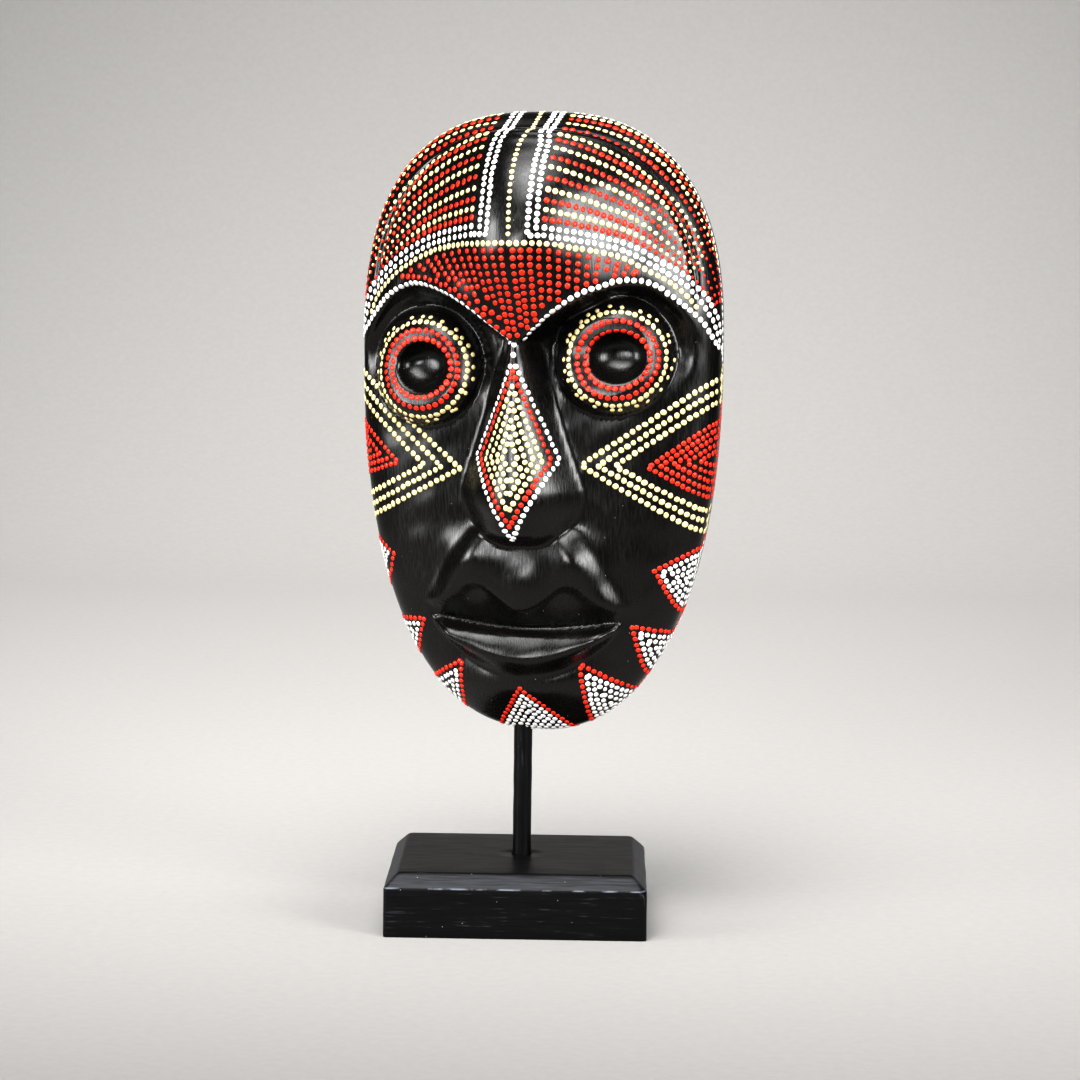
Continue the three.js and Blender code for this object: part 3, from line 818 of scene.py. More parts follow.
@dataclass
class MaskBody:
    """The carved, hollowed mask without its dots: fine face, side wall, rim and gouged back."""

    skin: Skin
    cells_across: int = 168
    cells_up: int = 280
    rim_width: float = 15.0
    chin_solid: float = 56.0
    hollow_depth: float = 25.0
    hollow_forehead: float = 27.0
    edge_round: float = 1.5
    gouge_width: float = 9.0
    gouge_depth: float = 0.5
    gouge_waver: float = 1.6
    hollow_place: Place = (55.0, 42.0)
    hollow_spread: float = 38.0
    wall_ring: Place = (1.2, 9.0)
    foot_draw: float = 2.3
    catch: float = 0.6

    @staticmethod
    def _disc(across: int, up: int) -> tuple[Points, Points]:
        """Square grid laid over a disc, crowded towards its edge: each point's angle and share."""
        a, b = np.meshgrid(np.linspace(-1, 1, across + 1), np.linspace(-1, 1, up + 1))
        x, y = a * np.sqrt(1 - b * b / 2), b * np.sqrt(1 - a * a / 2)
        share = np.clip(np.hypot(x, y), 0, 1)
        return np.arctan2(y, x), np.sin(1.25 * share) / math.sin(1.25)

    @staticmethod
    def _border(across: int, up: int) -> Points:
        """Numbers of the grid's border points, anticlockwise from its lower left corner."""
        row = across + 1
        bottom, right = np.arange(across), np.arange(up) * row + across
        top, left = up * row + np.arange(across, 0, -1), np.arange(up, 0, -1) * row
        return np.concatenate([bottom, right, top, left])

    @staticmethod
    def _cells(across: int, up: int) -> Points:
        """Corner numbers of the grid's cells, anticlockwise."""
        j, i = np.meshgrid(np.arange(up), np.arange(across), indexing="ij")
        first = (j * (across + 1) + i).ravel()
        return np.stack([first, first + 1, first + across + 2, first + across + 1], axis=1)

    def _face(self) -> Points:
        """Places of the fine front grid, its lines pulled onto the creases."""
        outline = self.skin.carving.outline
        angle, share = self._disc(self.cells_across, self.cells_up)
        far = outline.radius(angle) * share
        u, w = self.skin.carving.snap(far * np.cos(angle), far * np.sin(angle), self.catch)
        return self.skin.sheet(u, w).reshape(-1, 3)

    def _hollow_place(
        self, angle: Points, share: Points, clear: float = 0.0
    ) -> tuple[Points, Points]:
        """Places across the gouged hollow's mouth, or a clearance outside it, in mm."""
        outline = self.skin.carving.outline
        far = outline.radius(angle) * share
        u, w = far * np.cos(angle), far * np.sin(angle)
        high = np.where(
            w >= 0, 1 - self.rim_width / outline.crown, 1 - self.chin_solid / outline.chin
        )
        wide = 1 - self.rim_width / outline.half_width
        return u * (wide + clear / outline.half_width), w * (high + clear / outline.chin)

    def _hollow(self) -> Points:
        """Places of the gouged back: a bowl, deepest behind the forehead, with tool marks."""
        angle, share = self._disc(self.cells_across // 2, self.cells_up // 2)
        u, w = self._hollow_place(angle, share)
        bowl = self.hollow_depth * np.clip(1 - share**2.6, 0, None) ** 0.5
        level, high = self.hollow_place
        deeper = self.hollow_forehead * bell(u / self.hollow_spread) * bell((w - level) / high)
        waver = self.gouge_waver * ripple(u, w, 40.0, 8)
        marks = self.gouge_depth * np.abs(np.sin(np.pi * (u + waver) / self.gouge_width))
        steps = 0.5 * self.gouge_depth * ripple(u, w, 12.0, 9) * (1 - share**6)
        deep = bowl + deeper * (1 - share**3) - marks * (1 - share**6) + steps
        return self.skin.stance.row(u, deep, w).reshape(-1, 3)

    def _rings(self) -> list[Points]:
        """Rings from the front grid's border over the wall and the rounded edge to the hollow."""
        skin, outline = self.skin, self.skin.carving.outline
        angle, share = self._disc(self.cells_across, self.cells_up)
        angle = angle.ravel()[self._border(self.cells_across, self.cells_up)]
        radius, round_off = outline.radius(angle) - skin.inset, self.edge_round
        profile = [self.wall_ring] + [
            (self.foot_draw + (1 - share) * round_off, level * round_off)
            for share, level in ((1.0, 1.0), (0.7, 0.3), (0.0, 0.0))
        ]
        rings = []
        for drawn, v in profile:
            far = radius - drawn
            rings.append(skin.stance.row(far * np.cos(angle), v, far * np.sin(angle)))
        u, w = self._hollow_place(angle, np.ones_like(angle), clear=1.0)
        rings.append(skin.stance.row(u, 0.0, w))
        return rings

    def build(self, lacquer: Material, back: Material) -> bpy.types.Object:
        """Build the closed mesh and dress it.

        Args:
            lacquer: Finish of the face and wall.
            back: Finish of the rim and hollow.

        Returns:
            The mask's object.
        """
        across, up = self.cells_across, self.cells_up
        parts = [self._face()]
        edge = self._border(across, up)
        bands, first = [], len(parts[0])
        for ring in self._rings():
            parts.append(ring)
            ahead = np.arange(len(ring)) + first
            bands.append(np.stack([edge, ahead, np.roll(ahead, -1), np.roll(edge, -1)], axis=1))
            edge, first = ahead, first + len(ring)
        parts.append(self._hollow())
        coarse = self._border(across // 2, up // 2) + first
        after, even, odd = np.roll(coarse, -1), edge[::2], edge[1::2]
        fans = ((even, coarse, odd), (odd, coarse, after), (odd, after, np.roll(even, -1)))
        seam = [np.stack(fan, axis=1) for fan in fans]
        inner = self._cells(across // 2, up // 2)[:, ::-1] + first
        faces = [self._cells(across, up), *bands, *seam, inner]
        lacquered = 3
        slots = [0] * lacquered + [1] * (len(faces) - lacquered)
        piece = new_piece("lacquered_mask", np.concatenate(parts), faces, [lacquer, back], slots)
        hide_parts("carved_mask")
        return piece


@dataclass
class DotPainter:
    """Sets drops of paint on the skin in rows and keeps them from running into each other."""

    skin: Skin
    spacing: float = 3.95
    radius: float = 1.62
    height: float = 0.45
    sunk: float = 0.3
    skirt: float = 0.96
    shoulder: Place = (0.66, 0.86)
    foot_height: float = 0.12
    stray: float = 0.1
    size_spread: float = 0.045
    stretch_spread: float = 0.05
    sides: int = 10
    seed: int = 11
    places: list[Points] = field(default_factory=list)
    inks: list[Ink] = field(default_factory=list)
    radii: list[Points] = field(default_factory=list)

    def spread(self, line: Points | list[Place], spacing: float, closed: bool = False) -> Points:
        """Places at even distances over the skin along a line.

        Args:
            line: Places (u, w) of the line's bends, in mm.
            spacing: Distance from place to place, in mm.
            closed: Whether the line ends where it starts.

        Returns:
            Places (u, w), one a row, in mm, with the line's further columns if it has any.
        """
        line = np.asarray(line, float)
        if closed:
            line = np.concatenate([line, line[:1]])
        steps = np.linspace(0, 1, 24, endpoint=False)[None, :, None]
        fine = (line[:-1, None] * (1 - steps) + line[1:, None] * steps).reshape(-1, line.shape[1])
        fine = np.concatenate([fine, line[-1:]])
        solid = self.skin.sheet(fine[:, 0], fine[:, 1])
        run = np.concatenate([[0], np.cumsum(np.linalg.norm(np.diff(solid, axis=0), axis=1))])
        count = max(1, round(run[-1] / spacing))
        at = np.linspace(0, run[-1], count + 1)[: count if closed else count + 1]
        return np.stack([np.interp(at, run, column) for column in fine.T], axis=1)

    def along(
        self, line: Points | list[Place], ink: Ink, spacing: float = 0.0, size: float = 1.0,
        gap: float = 0.8, closed: bool = False,
    ) -> None:
        """Set dots at even distances along a line, leaving out those that would touch older ones.

        Args:
            line: Places (u, w) of the line's bends, in mm.
            ink: Colour of the dots.
            spacing: Distance from dot to dot, in mm, or 0 for the usual one.
            size: Size of the dots as a share of the usual one.
            gap: Least distance to an older dot, as a share of the spacing.
            closed: Whether the line ends where it starts.
        """
        spacing = spacing or self.spacing
        self.add(self.spread(line, spacing, closed), ink, size, gap * spacing)

    def add(self, dots: Points, ink: Ink, size: float | Points, clear: float | Points) -> None:
        """Set single dots, leaving out those nearer than a distance to older ones.

        Args:
            dots: Places (u, w), one a row, in mm.
            ink: Colour of the dots.
            size: Size of the dots as a share of the usual one.
            clear: Least distance to an older dot, in mm.
        """
        size = np.broadcast_to(size, len(dots))
        if self.places:
            old = np.concatenate(self.places)
            older = self.skin.sheet(old[:, 0], old[:, 1])
            new = self.skin.sheet(dots[:, 0], dots[:, 1])
            apart = np.linalg.norm(new[:, None] - older[None], axis=2).min(axis=1)
            dots, size = dots[apart > clear], size[apart > clear]
        if len(dots):
            self.places.append(dots)
            self.inks.extend([ink] * len(dots))
            self.radii.append(self.radius * size)

    def _drops(
        self, places: Points, radii: Points, rng: np.random.Generator
    ) -> tuple[Points, list[Points]]:
        """Meshes of the drops: a skirt sunk in the skin, a shoulder and a rounded top on each."""
        count, sides = len(places), self.sides
        places = places + rng.normal(0, self.stray, places.shape)
        centre = self.skin.sheet(places[:, 0], places[:, 1])
        normal = self.skin.normal(places[:, 0], places[:, 1])
        side = np.cross(normal, [0.0, 0.3, 1.0])
        side /= np.linalg.norm(side, axis=1, keepdims=True)
        other = np.cross(normal, side)
        radii = radii * rng.normal(1, self.size_spread, count)
        stretch = rng.normal(1, self.stretch_spread, count)
        turn = 2 * np.pi * np.arange(sides) / sides
        upper = (self.shoulder[0], self.height * self.shoulder[1])
        rings = []
        for share, height in ((self.skirt, -self.sunk), (1.0, self.foot_height), upper):
            reach = (radii * share)[:, None, None]
            circle = np.cos(turn)[None, :, None] * side[:, None] * stretch[:, None, None]
            circle = circle + np.sin(turn)[None, :, None] * other[:, None] / stretch[:, None, None]
            rings.append(centre[:, None] + reach * circle + height * normal[:, None])
        tops = (centre + self.height * normal)[:, None]
        points = np.concatenate([*rings, tops], axis=1)
        k = np.arange(sides)
        after = (k + 1) % sides
        band = np.stack([k, after, after + sides, k + sides], 1)
        quads = np.concatenate([band, band + sides])
        cap = np.stack([k + 2 * sides, after + 2 * sides, np.full(sides, 3 * sides)], 1)
        base = k[::-1][None]
        shift = (np.arange(count) * (3 * sides + 1))[:, None, None]
        faces = [(f[None] + shift).reshape(-1, f.shape[1]) for f in (quads, cap, base)]
        return points.reshape(-1, 3), faces

    def build(self) -> None:
        """Make one piece of each colour from the dots set so far."""
        rng = np.random.default_rng(self.seed)
        places, radii = np.concatenate(self.places), np.concatenate(self.radii)
        for ink in Ink:
            name, finish = ink.value
            mine = np.array([k is ink for k in self.inks])
            points, faces = self._drops(places[mine], radii[mine], rng)
            piece = new_piece(name, points, faces, [finish.build()], [0] * len(faces))
            log.info("%s: %d dots", name, int(mine.sum()))


def curve(bends: list[Place], steps: int = 8) -> Points:
    """Smooth line through bends, each stretch a cubic that leaves along its neighbours' chord.

    Args:
        bends: Places that the line passes, in order, in mm.
        steps: Points on each stretch.

    Returns:
        Places along the line, in mm.
    """
    p = np.asarray(bends, float)
    p = np.concatenate([2 * p[:1] - p[1:2], p, 2 * p[-1:] - p[-2:-1]])
    t = np.linspace(0, 1, steps, endpoint=False)[None, :, None]
    a, b, c, d = (p[k : len(p) - 3 + k, None] for k in range(4))
    run = 0.5 * (
        2 * b + (c - a) * t + (2 * a - 5 * b + 4 * c - d) * t**2 + (3 * b - a - 3 * c + d) * t**3
    )
    return np.concatenate([run.reshape(-1, 2), p[-2:-1]])


@dataclass
class ForeheadPattern:
    """Rows over the forehead and cap, the stripe between them, and the red field over the brow.

    The rows keep their distance near the arc and near the rim, and close up between them.
    """

    painter: DotPainter
    arc_left: tuple[Place, ...] = (
        (-4, 56), (-24, 55), (-39, 53), (-53, 49), (-67, 42), (-77, 35), (-86, 26), (-92, 15),
        (-97, 4),
    )
    arc_right: tuple[Place, ...] = (
        (-4, 56), (17, 56), (29, 54), (40, 52), (52, 49), (64, 43), (77, 35), (86, 26), (95, 11),
        (100, -3),
    )
    brow_left: tuple[Place, ...] = (
        (-98, 4), (-90, 14), (-82, 23), (-74, 29), (-65, 32.5), (-56, 33), (-44, 30), (-32, 25),
        (-20, 17), (-9, 7), (-2, 3),
    )
    brow_right: tuple[Place, ...] = (
        (3, 6), (13, 15), (23, 23), (33, 30), (43, 34), (53, 37), (62, 37), (70, 34), (78, 28),
        (86, 21), (92, 14), (97, 4), (102, -5),
    )
    stripe_left: float = -23.0
    stripe_right: float = 17.0
    columns: tuple[tuple[float, float, float, float], ...] = (
        (-17.5, -15.5, 64.0, -17.6), (-13.2, -11.2, 60.0, -20.6), (9.0, 7.0, 60.0, 14.2),
        (13.2, 11.2, 64.0, 13.3),
    )
    rows: tuple[tuple[float, Ink], ...] = (
        (60.0, Ink.WHITE), (64.0, Ink.WHITE), (68.5, Ink.RED), (73.0, Ink.CREAM), (78.0, Ink.RED),
        (83.5, Ink.CREAM), (89.5, Ink.RED), (95.0, Ink.CREAM), (100.0, Ink.RED),
        (104.8, Ink.CREAM), (109.0, Ink.RED), (112.0, Ink.CREAM), (114.8, Ink.RED),
        (117.8, Ink.CREAM), (120.2, Ink.RED), (122.2, Ink.CREAM), (124.2, Ink.WHITE),
        (127.6, Ink.WHITE),
    )
    rim: float = 129.0
    kept_band: float = 9.5
    fade_out: tuple[float, ...] = (0.3, 0.3, 0.1, 0.1)
    full_size_above: float = 0.7
    least_size: float = 0.6
    stripe_bend: tuple[float, float] = (108.0, 114.0)
    stripe_spacing: float = 3.7
    middle_line: tuple[Place, ...] = ((-1.0, 60.5), (-1.8, 84.0), (-2.0, 108.0), (0.5, 114.0))
    field_steps: tuple[tuple[float, float, float], ...] = ((-86.0, -4.0, 5.4), (-3.0, 96.0, 4.5))
    field_lean: tuple[Place, ...] = ((-86, 6), (-60, 16), (-40, 18), (-15, 8), (5, 0), (90, -2))
    field_ends: Place = (3.7, 3.4)
    field_top_lean: float = 0.1
    field_least: float = 5.0

    def _side(self, arc: tuple[Place, ...], start: float, temple: float, pitch: float) -> None:
        """Lay the rows of one side, from the stripe to the temple.

        Args:
            arc: Bends of the cream arc, from the stripe outward.
            start: Distance across at which the rows start, in mm.
            temple: Height at which the rim rows end, in mm.
            pitch: Distance from dot to dot where the rows are widest, in mm.
        """
        outline = self.painter.skin.carving.outline
        low = curve([(start, 56.0), *[p for p in arc if abs(p[0]) > abs(start) + 3]], 12)
        shares = np.linspace(0, 1, 90)
        run = np.concatenate([[0], np.cumsum(np.hypot(*np.diff(low, axis=0).T))])
        low = np.stack([np.interp(shares * run[-1], run, low[:, k]) for k in (0, 1)], axis=1)
        top_angle = math.atan2(outline.crown, start)
        end_angle = math.atan2(temple, math.copysign(outline.half_width, start))
        angle = top_angle + (end_angle - top_angle) * shares
        far = outline.radius(angle) + self.rim - outline.crown
        high = np.stack([far * np.cos(angle), far * np.sin(angle)], axis=1)
        climb = np.linspace(0, 1, 160)[None, :, None]
        web = low[:, None] * (1 - climb) + high[:, None] * climb
        solid = self.painter.skin.sheet(web[..., 0], web[..., 1])
        rise = np.cumsum(
            np.linalg.norm(np.diff(solid, axis=1, prepend=solid[:, :1]), axis=2), axis=1
        )
        whole = rise[:, -1]
        low_band = self.kept_band * np.minimum(1, whole / (2 * self.kept_band))
        rim_band = self.kept_band * np.sqrt(whole / whole[0])
        between = whole - low_band - rim_band
        for height, ink in sorted(self.rows, key=lambda row: (row[1] is not Ink.WHITE, row[0])):
            level = np.interp(height, web[0, :, 1], rise[0])
            marks = np.stack([0 * whole, low_band, whole - rim_band, whole], axis=1)
            usual = [0, self.kept_band, whole[0] - self.kept_band, whole[0]]
            levels = [np.interp(level, usual, mark) for mark in marks]
            climbs = zip(levels, rise, web)
            line = np.stack([[np.interp(at, r, w[:, k]) for k in (0, 1)] for at, r, w in climbs])
            closeness = np.ones(len(line)) if ink is Ink.WHITE else between / between[0]
            row = self.painter.spread(np.column_stack([line, closeness]), pitch)
            row = row[
                row[:, 2] > self.fade_out[self.rows.index((height, ink)) % len(self.fade_out)]
            ]
            size = np.clip(row[:, 2] / self.full_size_above, self.least_size, 1)
            self.painter.add(row[:, :2], ink, size, 0.7 * self.painter.spacing * size)

    def _field(self) -> None:
        """Fill the red field: columns from arc to brow, wider apart and fanned on the left."""
        painter = self.painter
        arc = np.concatenate([curve(list(self.arc_left))[::-1], curve(list(self.arc_right))])
        brow = np.concatenate([curve(list(self.brow_left)), curve(list(self.brow_right))])
        for top in np.concatenate([np.arange(*steps) for steps in self.field_steps]):
            upper = np.interp(top, arc[:, 0], arc[:, 1])
            lean = np.interp(top, *zip(*self.field_lean))
            lower = np.interp(top + lean, brow[:, 0], brow[:, 1])
            if upper - lower > self.field_least:
                start = (top + self.field_top_lean * lean, upper - self.field_ends[0])
                end = (top + lean, lower + self.field_ends[1])
                painter.along([start, end], Ink.RED, spacing=4.0, gap=0.84, size=0.94)

    def paint(self) -> None:
        """Set all the dots above the brow."""
        painter = self.painter
        painter.along(curve(list(self.brow_left)), Ink.WHITE, size=1.05)
        painter.along(curve(list(self.brow_right)), Ink.WHITE, size=1.05)
        painter.along(curve(list(self.arc_left)), Ink.CREAM)
        painter.along(curve(list(self.arc_right)), Ink.CREAM)
        under, over = self.stripe_bend
        for low, high, foot, turn in self.columns:
            line = [(turn, foot), (low, foot), (low, under), (high, over), (high, self.rim)]
            painter.along(line, Ink.WHITE, self.stripe_spacing)
        painter.along([*self.middle_line, (-1.0, self.rim)], Ink.CREAM, self.stripe_spacing, 0.85)
        self._side(self.arc_left, self.stripe_left, 3.0, 4.6)
        self._side(self.arc_right, self.stripe_right, -6.0, 3.95)
        self._field()


@dataclass
class EyePattern:
    """Three rings of dots round each bowl, the outer one with small drops outside it."""

    painter: DotPainter
    rings: tuple[tuple[float, float, float, float, Ink], ...] = (
        (-56.5, -11.5, 17.3, 15.6, Ink.RED), (-56.5, -12.0, 21.2, 20.6, Ink.RED),
        (-56.5, -12.3, 25.6, 25.2, Ink.CREAM),
        (51.0, -4.2, 16.6, 15.0, Ink.RED), (50.5, -4.0, 20.8, 20.2, Ink.RED),
        (49.6, -3.8, 24.9, 24.4, Ink.CREAM),
    )
    ring_spacing: float = 3.75
    drops: int = 26
    drop_out: float = 2.5
    drop_size: float = 0.78
    drop_clear: float = 2.2
    seed: int = 5

    def paint(self) -> None:
        """Set the rings, and small drops close outside each cream one."""
        rng = np.random.default_rng(self.seed)
        for u, w, wide, high, ink in self.rings:
            angle = np.linspace(0, 2 * np.pi, 60, endpoint=False)
            oval = np.stack([u + wide * np.cos(angle), w + high * np.sin(angle)], axis=1)
            self.painter.along(oval, ink, self.ring_spacing, gap=0.7, closed=True)
            if ink is Ink.CREAM:
                steps = np.arange(self.drops) + rng.uniform(-0.45, 0.45, self.drops)
                around = 2 * np.pi * steps / self.drops
                out = self.drop_out + rng.uniform(-0.3, 0.5, self.drops)
                far_u, far_w = (wide + out) * np.cos(around), (high + out) * np.sin(around)
                drops = np.stack([u + far_u, w + far_w], axis=1)
                self.painter.add(drops, ink, self.drop_size, self.drop_clear)


@dataclass
class NosePattern:
    """Diamond down the nose: white and red outlines round nested cream ones."""

    painter: DotPainter
    outlines: tuple[tuple[float, float, float, float, Ink], ...] = (
        (-5.0, -25.5, -100.0, 20.5, Ink.WHITE), (-11.0, -22.0, -92.5, 17.0, Ink.RED),
        (-19.0, -18.0, -84.0, 13.4, Ink.CREAM), (-28.0, -14.0, -76.0, 9.6, Ink.CREAM),
        (-36.5, -10.0, -69.0, 6.0, Ink.CREAM), (-45.0, -6.2, -62.0, 2.0, Ink.CREAM),
    )
    axis: float = -2.3
    level: float = -56.5
    spacing: float = 3.8
    dot_size: float = 0.94
    bridge_dots: tuple[Place, ...] = ((-2.0, 0.5), (-2.0, -2.6))
    bridge_clear: float = 2.9

    def paint(self) -> None:
        """Set the bridge's single dots and the outlines from the outside in."""
        for dot in self.bridge_dots:
            self.painter.add(np.array([dot]), Ink.WHITE, self.dot_size, self.bridge_clear)
        for top, left, bottom, right, ink in self.outlines:
            sides = (left, self.level), (right, self.level - 1.0)
            diamond = [(self.axis, top), sides[0], (self.axis, bottom), sides[1]]
            self.painter.along(diamond, ink, self.spacing, self.dot_size, gap=0.76, closed=True)


@dataclass(frozen=True)
class Wedge:
    """A V of dots whose arms run from its tip to the mask's edge, in mm."""

    tip: Place
    upper: Place
    lower: Place

    def nested(self, share: float) -> list[Place]:
        """Bends of a smaller V in the same corner of the edge.

        Args:
            share: 0 for the V itself, 1 for a V shrunk to the middle of its open side.

        Returns:
            Ends and tip of the smaller V.
        """
        tip, upper, lower = (np.array(p) for p in (self.tip, self.upper, self.lower))
        middle = (upper + lower) / 2
        return [tuple(p + (middle - p) * share) for p in (upper, tip, lower)]


@dataclass
class CheekPattern:
    """Cream chevrons with a red wedge inside them on each cheek."""

    painter: DotPainter
    spacing: float = 3.8
    chevrons: tuple[Wedge, ...] = (
        Wedge((30, -60.5), (106, -9.5), (95, -98)), Wedge((39, -60.5), (106, -15.5), (96, -92.5)),
        Wedge((48, -60.5), (106, -21.5), (97, -87)),
        Wedge((-36, -64.5), (-103, -11), (-97, -97)),
        Wedge((-46.5, -64), (-103, -18), (-97, -90.5)),
        Wedge((-57, -63.5), (-103, -25), (-97, -84)),
    )
    fills: tuple[Wedge, ...] = (
        Wedge((65, -61), (107, -31), (100, -81)), Wedge((-73, -63), (-104, -36), (-99, -72))
    )

    def paint(self) -> None:
        """Set the chevrons, then the red wedges filled with smaller ones."""
        for wedge in self.chevrons:
            self.painter.along(wedge.nested(0.0), Ink.CREAM, self.spacing)
        fill_wedges(self.painter, self.fills, Ink.RED, Ink.RED)


@dataclass
class JawPattern:
    """Seven wedges along the jaw, outlined in red and filled with white."""

    painter: DotPainter
    wedges: tuple[Wedge, ...] = (
        Wedge((68, -116), (96, -101), (83, -146)), Wedge((56, -146), (86, -152), (63, -180)),
        Wedge((29, -167), (60, -183), (32, -205)),
        Wedge((-3, -181), (25, -206), (-22, -208)), Wedge((-37, -168), (-39, -203), (-61, -182)),
        Wedge((-59, -147), (-67, -174), (-83, -149)),
        Wedge((-77, -113), (-84, -138), (-96, -100)),
    )

    def paint(self) -> None:
        """Set each wedge's outline and fill."""
        fill_wedges(self.painter, self.wedges, Ink.RED, Ink.WHITE)


def fill_wedges(
    painter: DotPainter,
    wedges: tuple[Wedge, ...],
    edge: Ink,
    inside: Ink,
    row_gap: float = 3.9,
    spacing: float = 3.4,
    size: float = 0.88,
) -> None:
    """Outline wedges and fill them with nested ones.

    Args:
        painter: Painter that sets the dots.
        wedges: Wedges to fill.
        edge: Colour of the outline.
        inside: Colour of the fill.
        row_gap: Distance between rows along the open side, in mm.
        spacing: Distance from dot to dot, in mm.
        size: Size of the dots as a share of the usual one.
    """
    for wedge in wedges:
        across = math.dist(wedge.upper, wedge.lower)
        rows = max(2, round(across / (2 * row_gap)))
        for k in range(rows):
            painter.along(
                wedge.nested(k / rows), edge if k == 0 else inside, spacing, size, gap=0.84
            )


def stack_faces(sides: int, rings: int) -> list[Points]:
    """Faces of a closed stack of rings.

    Args:
        sides: Points on each ring.
        rings: Number of rings.

    Returns:
        The quads between the rings, the first ring's cap and the last one's.
    """
    k = np.arange(sides)
    after = (k + 1) % sides
    band = np.stack([k, after, after + sides, k + sides], 1)
    bands = (band[None] + (np.arange(rings - 1) * sides)[:, None, None]).reshape(-1, 4)
    return [bands, k[::-1][None], (k + (rings - 1) * sides)[None]]


@dataclass
class Rod:
    """Turned wooden rod between the base and the chin, with slight hand unevenness."""

    x: float = 2.0
    radius: float = 5.0
    bottom: float = 15.5
    top: float = 139.0
    tip: float = 0.8
    sides: int = 48
    levels: int = 60
    draw_in: float = 0.12
    unevenness: float = 0.07

    def build(self, finish: Material) -> bpy.types.Object:
        """Build the rod: rings up its height, a waver of a tenth of a millimetre, eased ends."""
        shaft = np.linspace(self.bottom + self.tip, self.top - self.tip, self.levels)
        height = np.concatenate([[self.bottom], shaft, [self.top]])
        radius = np.full(len(height), self.radius - self.draw_in)
        radius[[0, -1]] -= self.tip
        turn = 2 * np.pi * np.arange(self.sides) / self.sides
        waver = ripple(height[:, None], self.radius * np.cos(turn)[None], 14.0, 21)
        radius = radius[:, None] + self.unevenness * waver
        levels = np.repeat(height[:, None], self.sides, 1)
        ring = np.stack([self.x + radius * np.cos(turn), radius * np.sin(turn), levels], -1)
        faces = stack_faces(self.sides, len(height))
        piece = new_piece("painted_rod", ring.reshape(-1, 3), faces, [finish], [0, 0, 0])
        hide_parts("stand_rod")
        return piece


@dataclass
class StandBase:
    """Wooden block with a chamfered top, eased edges, a small chip and a seat for the rod."""

    width: float = 138.0
    depth: float = 122.0
    height: float = 33.5
    chamfer: float = 7.4
    corner: float = 2.0
    ease: float = 0.7
    seat_x: float = 2.0
    seat_radius: float = 5.3
    seat_depth: float = 18.3
    side_points: int = 40
    corner_points: int = 6
    draw_in: float = 0.12
    unevenness: float = 0.1
    chip_size: float = 2.2

    def _around(self) -> tuple[Points, Points, Points, Points]:
        """Points once round the block: signs of the corner centres, and corner directions."""
        signs_x, signs_y, arcs_x, arcs_y = [], [], [], []
        corners = [(1, 1), (-1, 1), (-1, -1), (1, -1)]
        for quarter, (sx, sy) in enumerate(corners):
            angle = np.pi / 2 * (quarter + np.linspace(0, 1, self.corner_points))
            signs_x.append(np.full(self.corner_points, float(sx)))
            signs_y.append(np.full(self.corner_points, float(sy)))
            arcs_x.append(np.cos(angle))
            arcs_y.append(np.sin(angle))
            nx, ny = corners[(quarter + 1) % 4]
            share = np.arange(1, self.side_points) / self.side_points
            signs_x.append(sx + (nx - sx) * share)
            signs_y.append(sy + (ny - sy) * share)
            arcs_x.append(np.full(len(share), math.cos(angle[-1])))
            arcs_y.append(np.full(len(share), math.sin(angle[-1])))
        return tuple(np.concatenate(k) for k in (signs_x, signs_y, arcs_x, arcs_y))

    def build(self, finish: Material) -> bpy.types.Object:
        """Build the closed block ring by ring, from its underside to the seat's floor.

        Args:
            finish: Finish of the base.

        Returns:
            The base's object.
        """
        sx, sy, ax, ay = self._around()
        count, ease, top, slope = len(sx), self.ease, self.height, self.chamfer
        start = top - slope
        # Pairs of inset and height: underside, eased foot, side, eased edge, chamfer, top
        profile = [(60.0, 0.0), (30.0, 0.0), (ease + 1.5, 0.0), (ease, 0.0)]
        profile += [(0.3 * ease, 0.3 * ease), (0.0, ease)]
        profile += [(0.0, z) for z in (6.0, 12.0, 18.0, 23.0)]
        profile += [(0.0, start - 0.9), (0.15, start - 0.2), (0.6, start + 0.5)]
        profile += [(slope * k, start + slope * k) for k in (0.3, 0.55, 0.75)]
        profile += [(slope - 0.9, top - 1.0), (slope - 0.1, top - 0.4), (slope + 0.8, top - 0.08)]
        profile += [(slope + 2.0, top), (25.0, top), (40.0, top)]
        rings = []
        for inset, z in profile:
            half_x = max(self.width / 2 - self.corner - inset, 1.0)
            half_y = max(self.depth / 2 - self.corner - inset, 1.0)
            x, y = sx * half_x + self.corner * ax, sy * half_y + self.corner * ay
            rings.append(np.stack([x, y, np.full(count, z)], axis=1))
        angle = np.arctan2(rings[3][:, 1], rings[3][:, 0])
        seat, floor = self.seat_radius, top - self.seat_depth
        for radius, z in ((14.0, top), (seat + 0.5, top), (seat, top - 0.5), (seat, floor)):
            x, y = self.seat_x + radius * np.cos(angle), radius * np.sin(angle)
            rings.append(np.stack([x, y, np.full(count, z)], axis=1))
        points = self._wear(np.stack(rings)).reshape(-1, 3)
        faces = stack_faces(count, len(rings))
        piece = new_piece("painted_base", points, faces, [finish], [0, 0, 0])
        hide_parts("stand_base")
        return piece

    def _wear(self, points: Points) -> Points:
        """Draw the sides in by a slight unevenness, and chip the upper right front corner."""
        waves = ripple(points[..., 0] + points[..., 1], points[..., 2], 30.0, 31)
        wander = self.draw_in + self.unevenness * waves
        points = points * (
            1 - wander[..., None] / np.array([self.width / 2, self.depth / 2, np.inf])
        )
        chip = np.array([self.width / 2 - 1.0, -self.depth / 2 + 1.0, self.height - self.chamfer])
        near = bell(np.linalg.norm(points - chip, axis=-1) / self.chip_size)[..., None]
        return points - near * np.array([1.0, -1.0, 0.5])


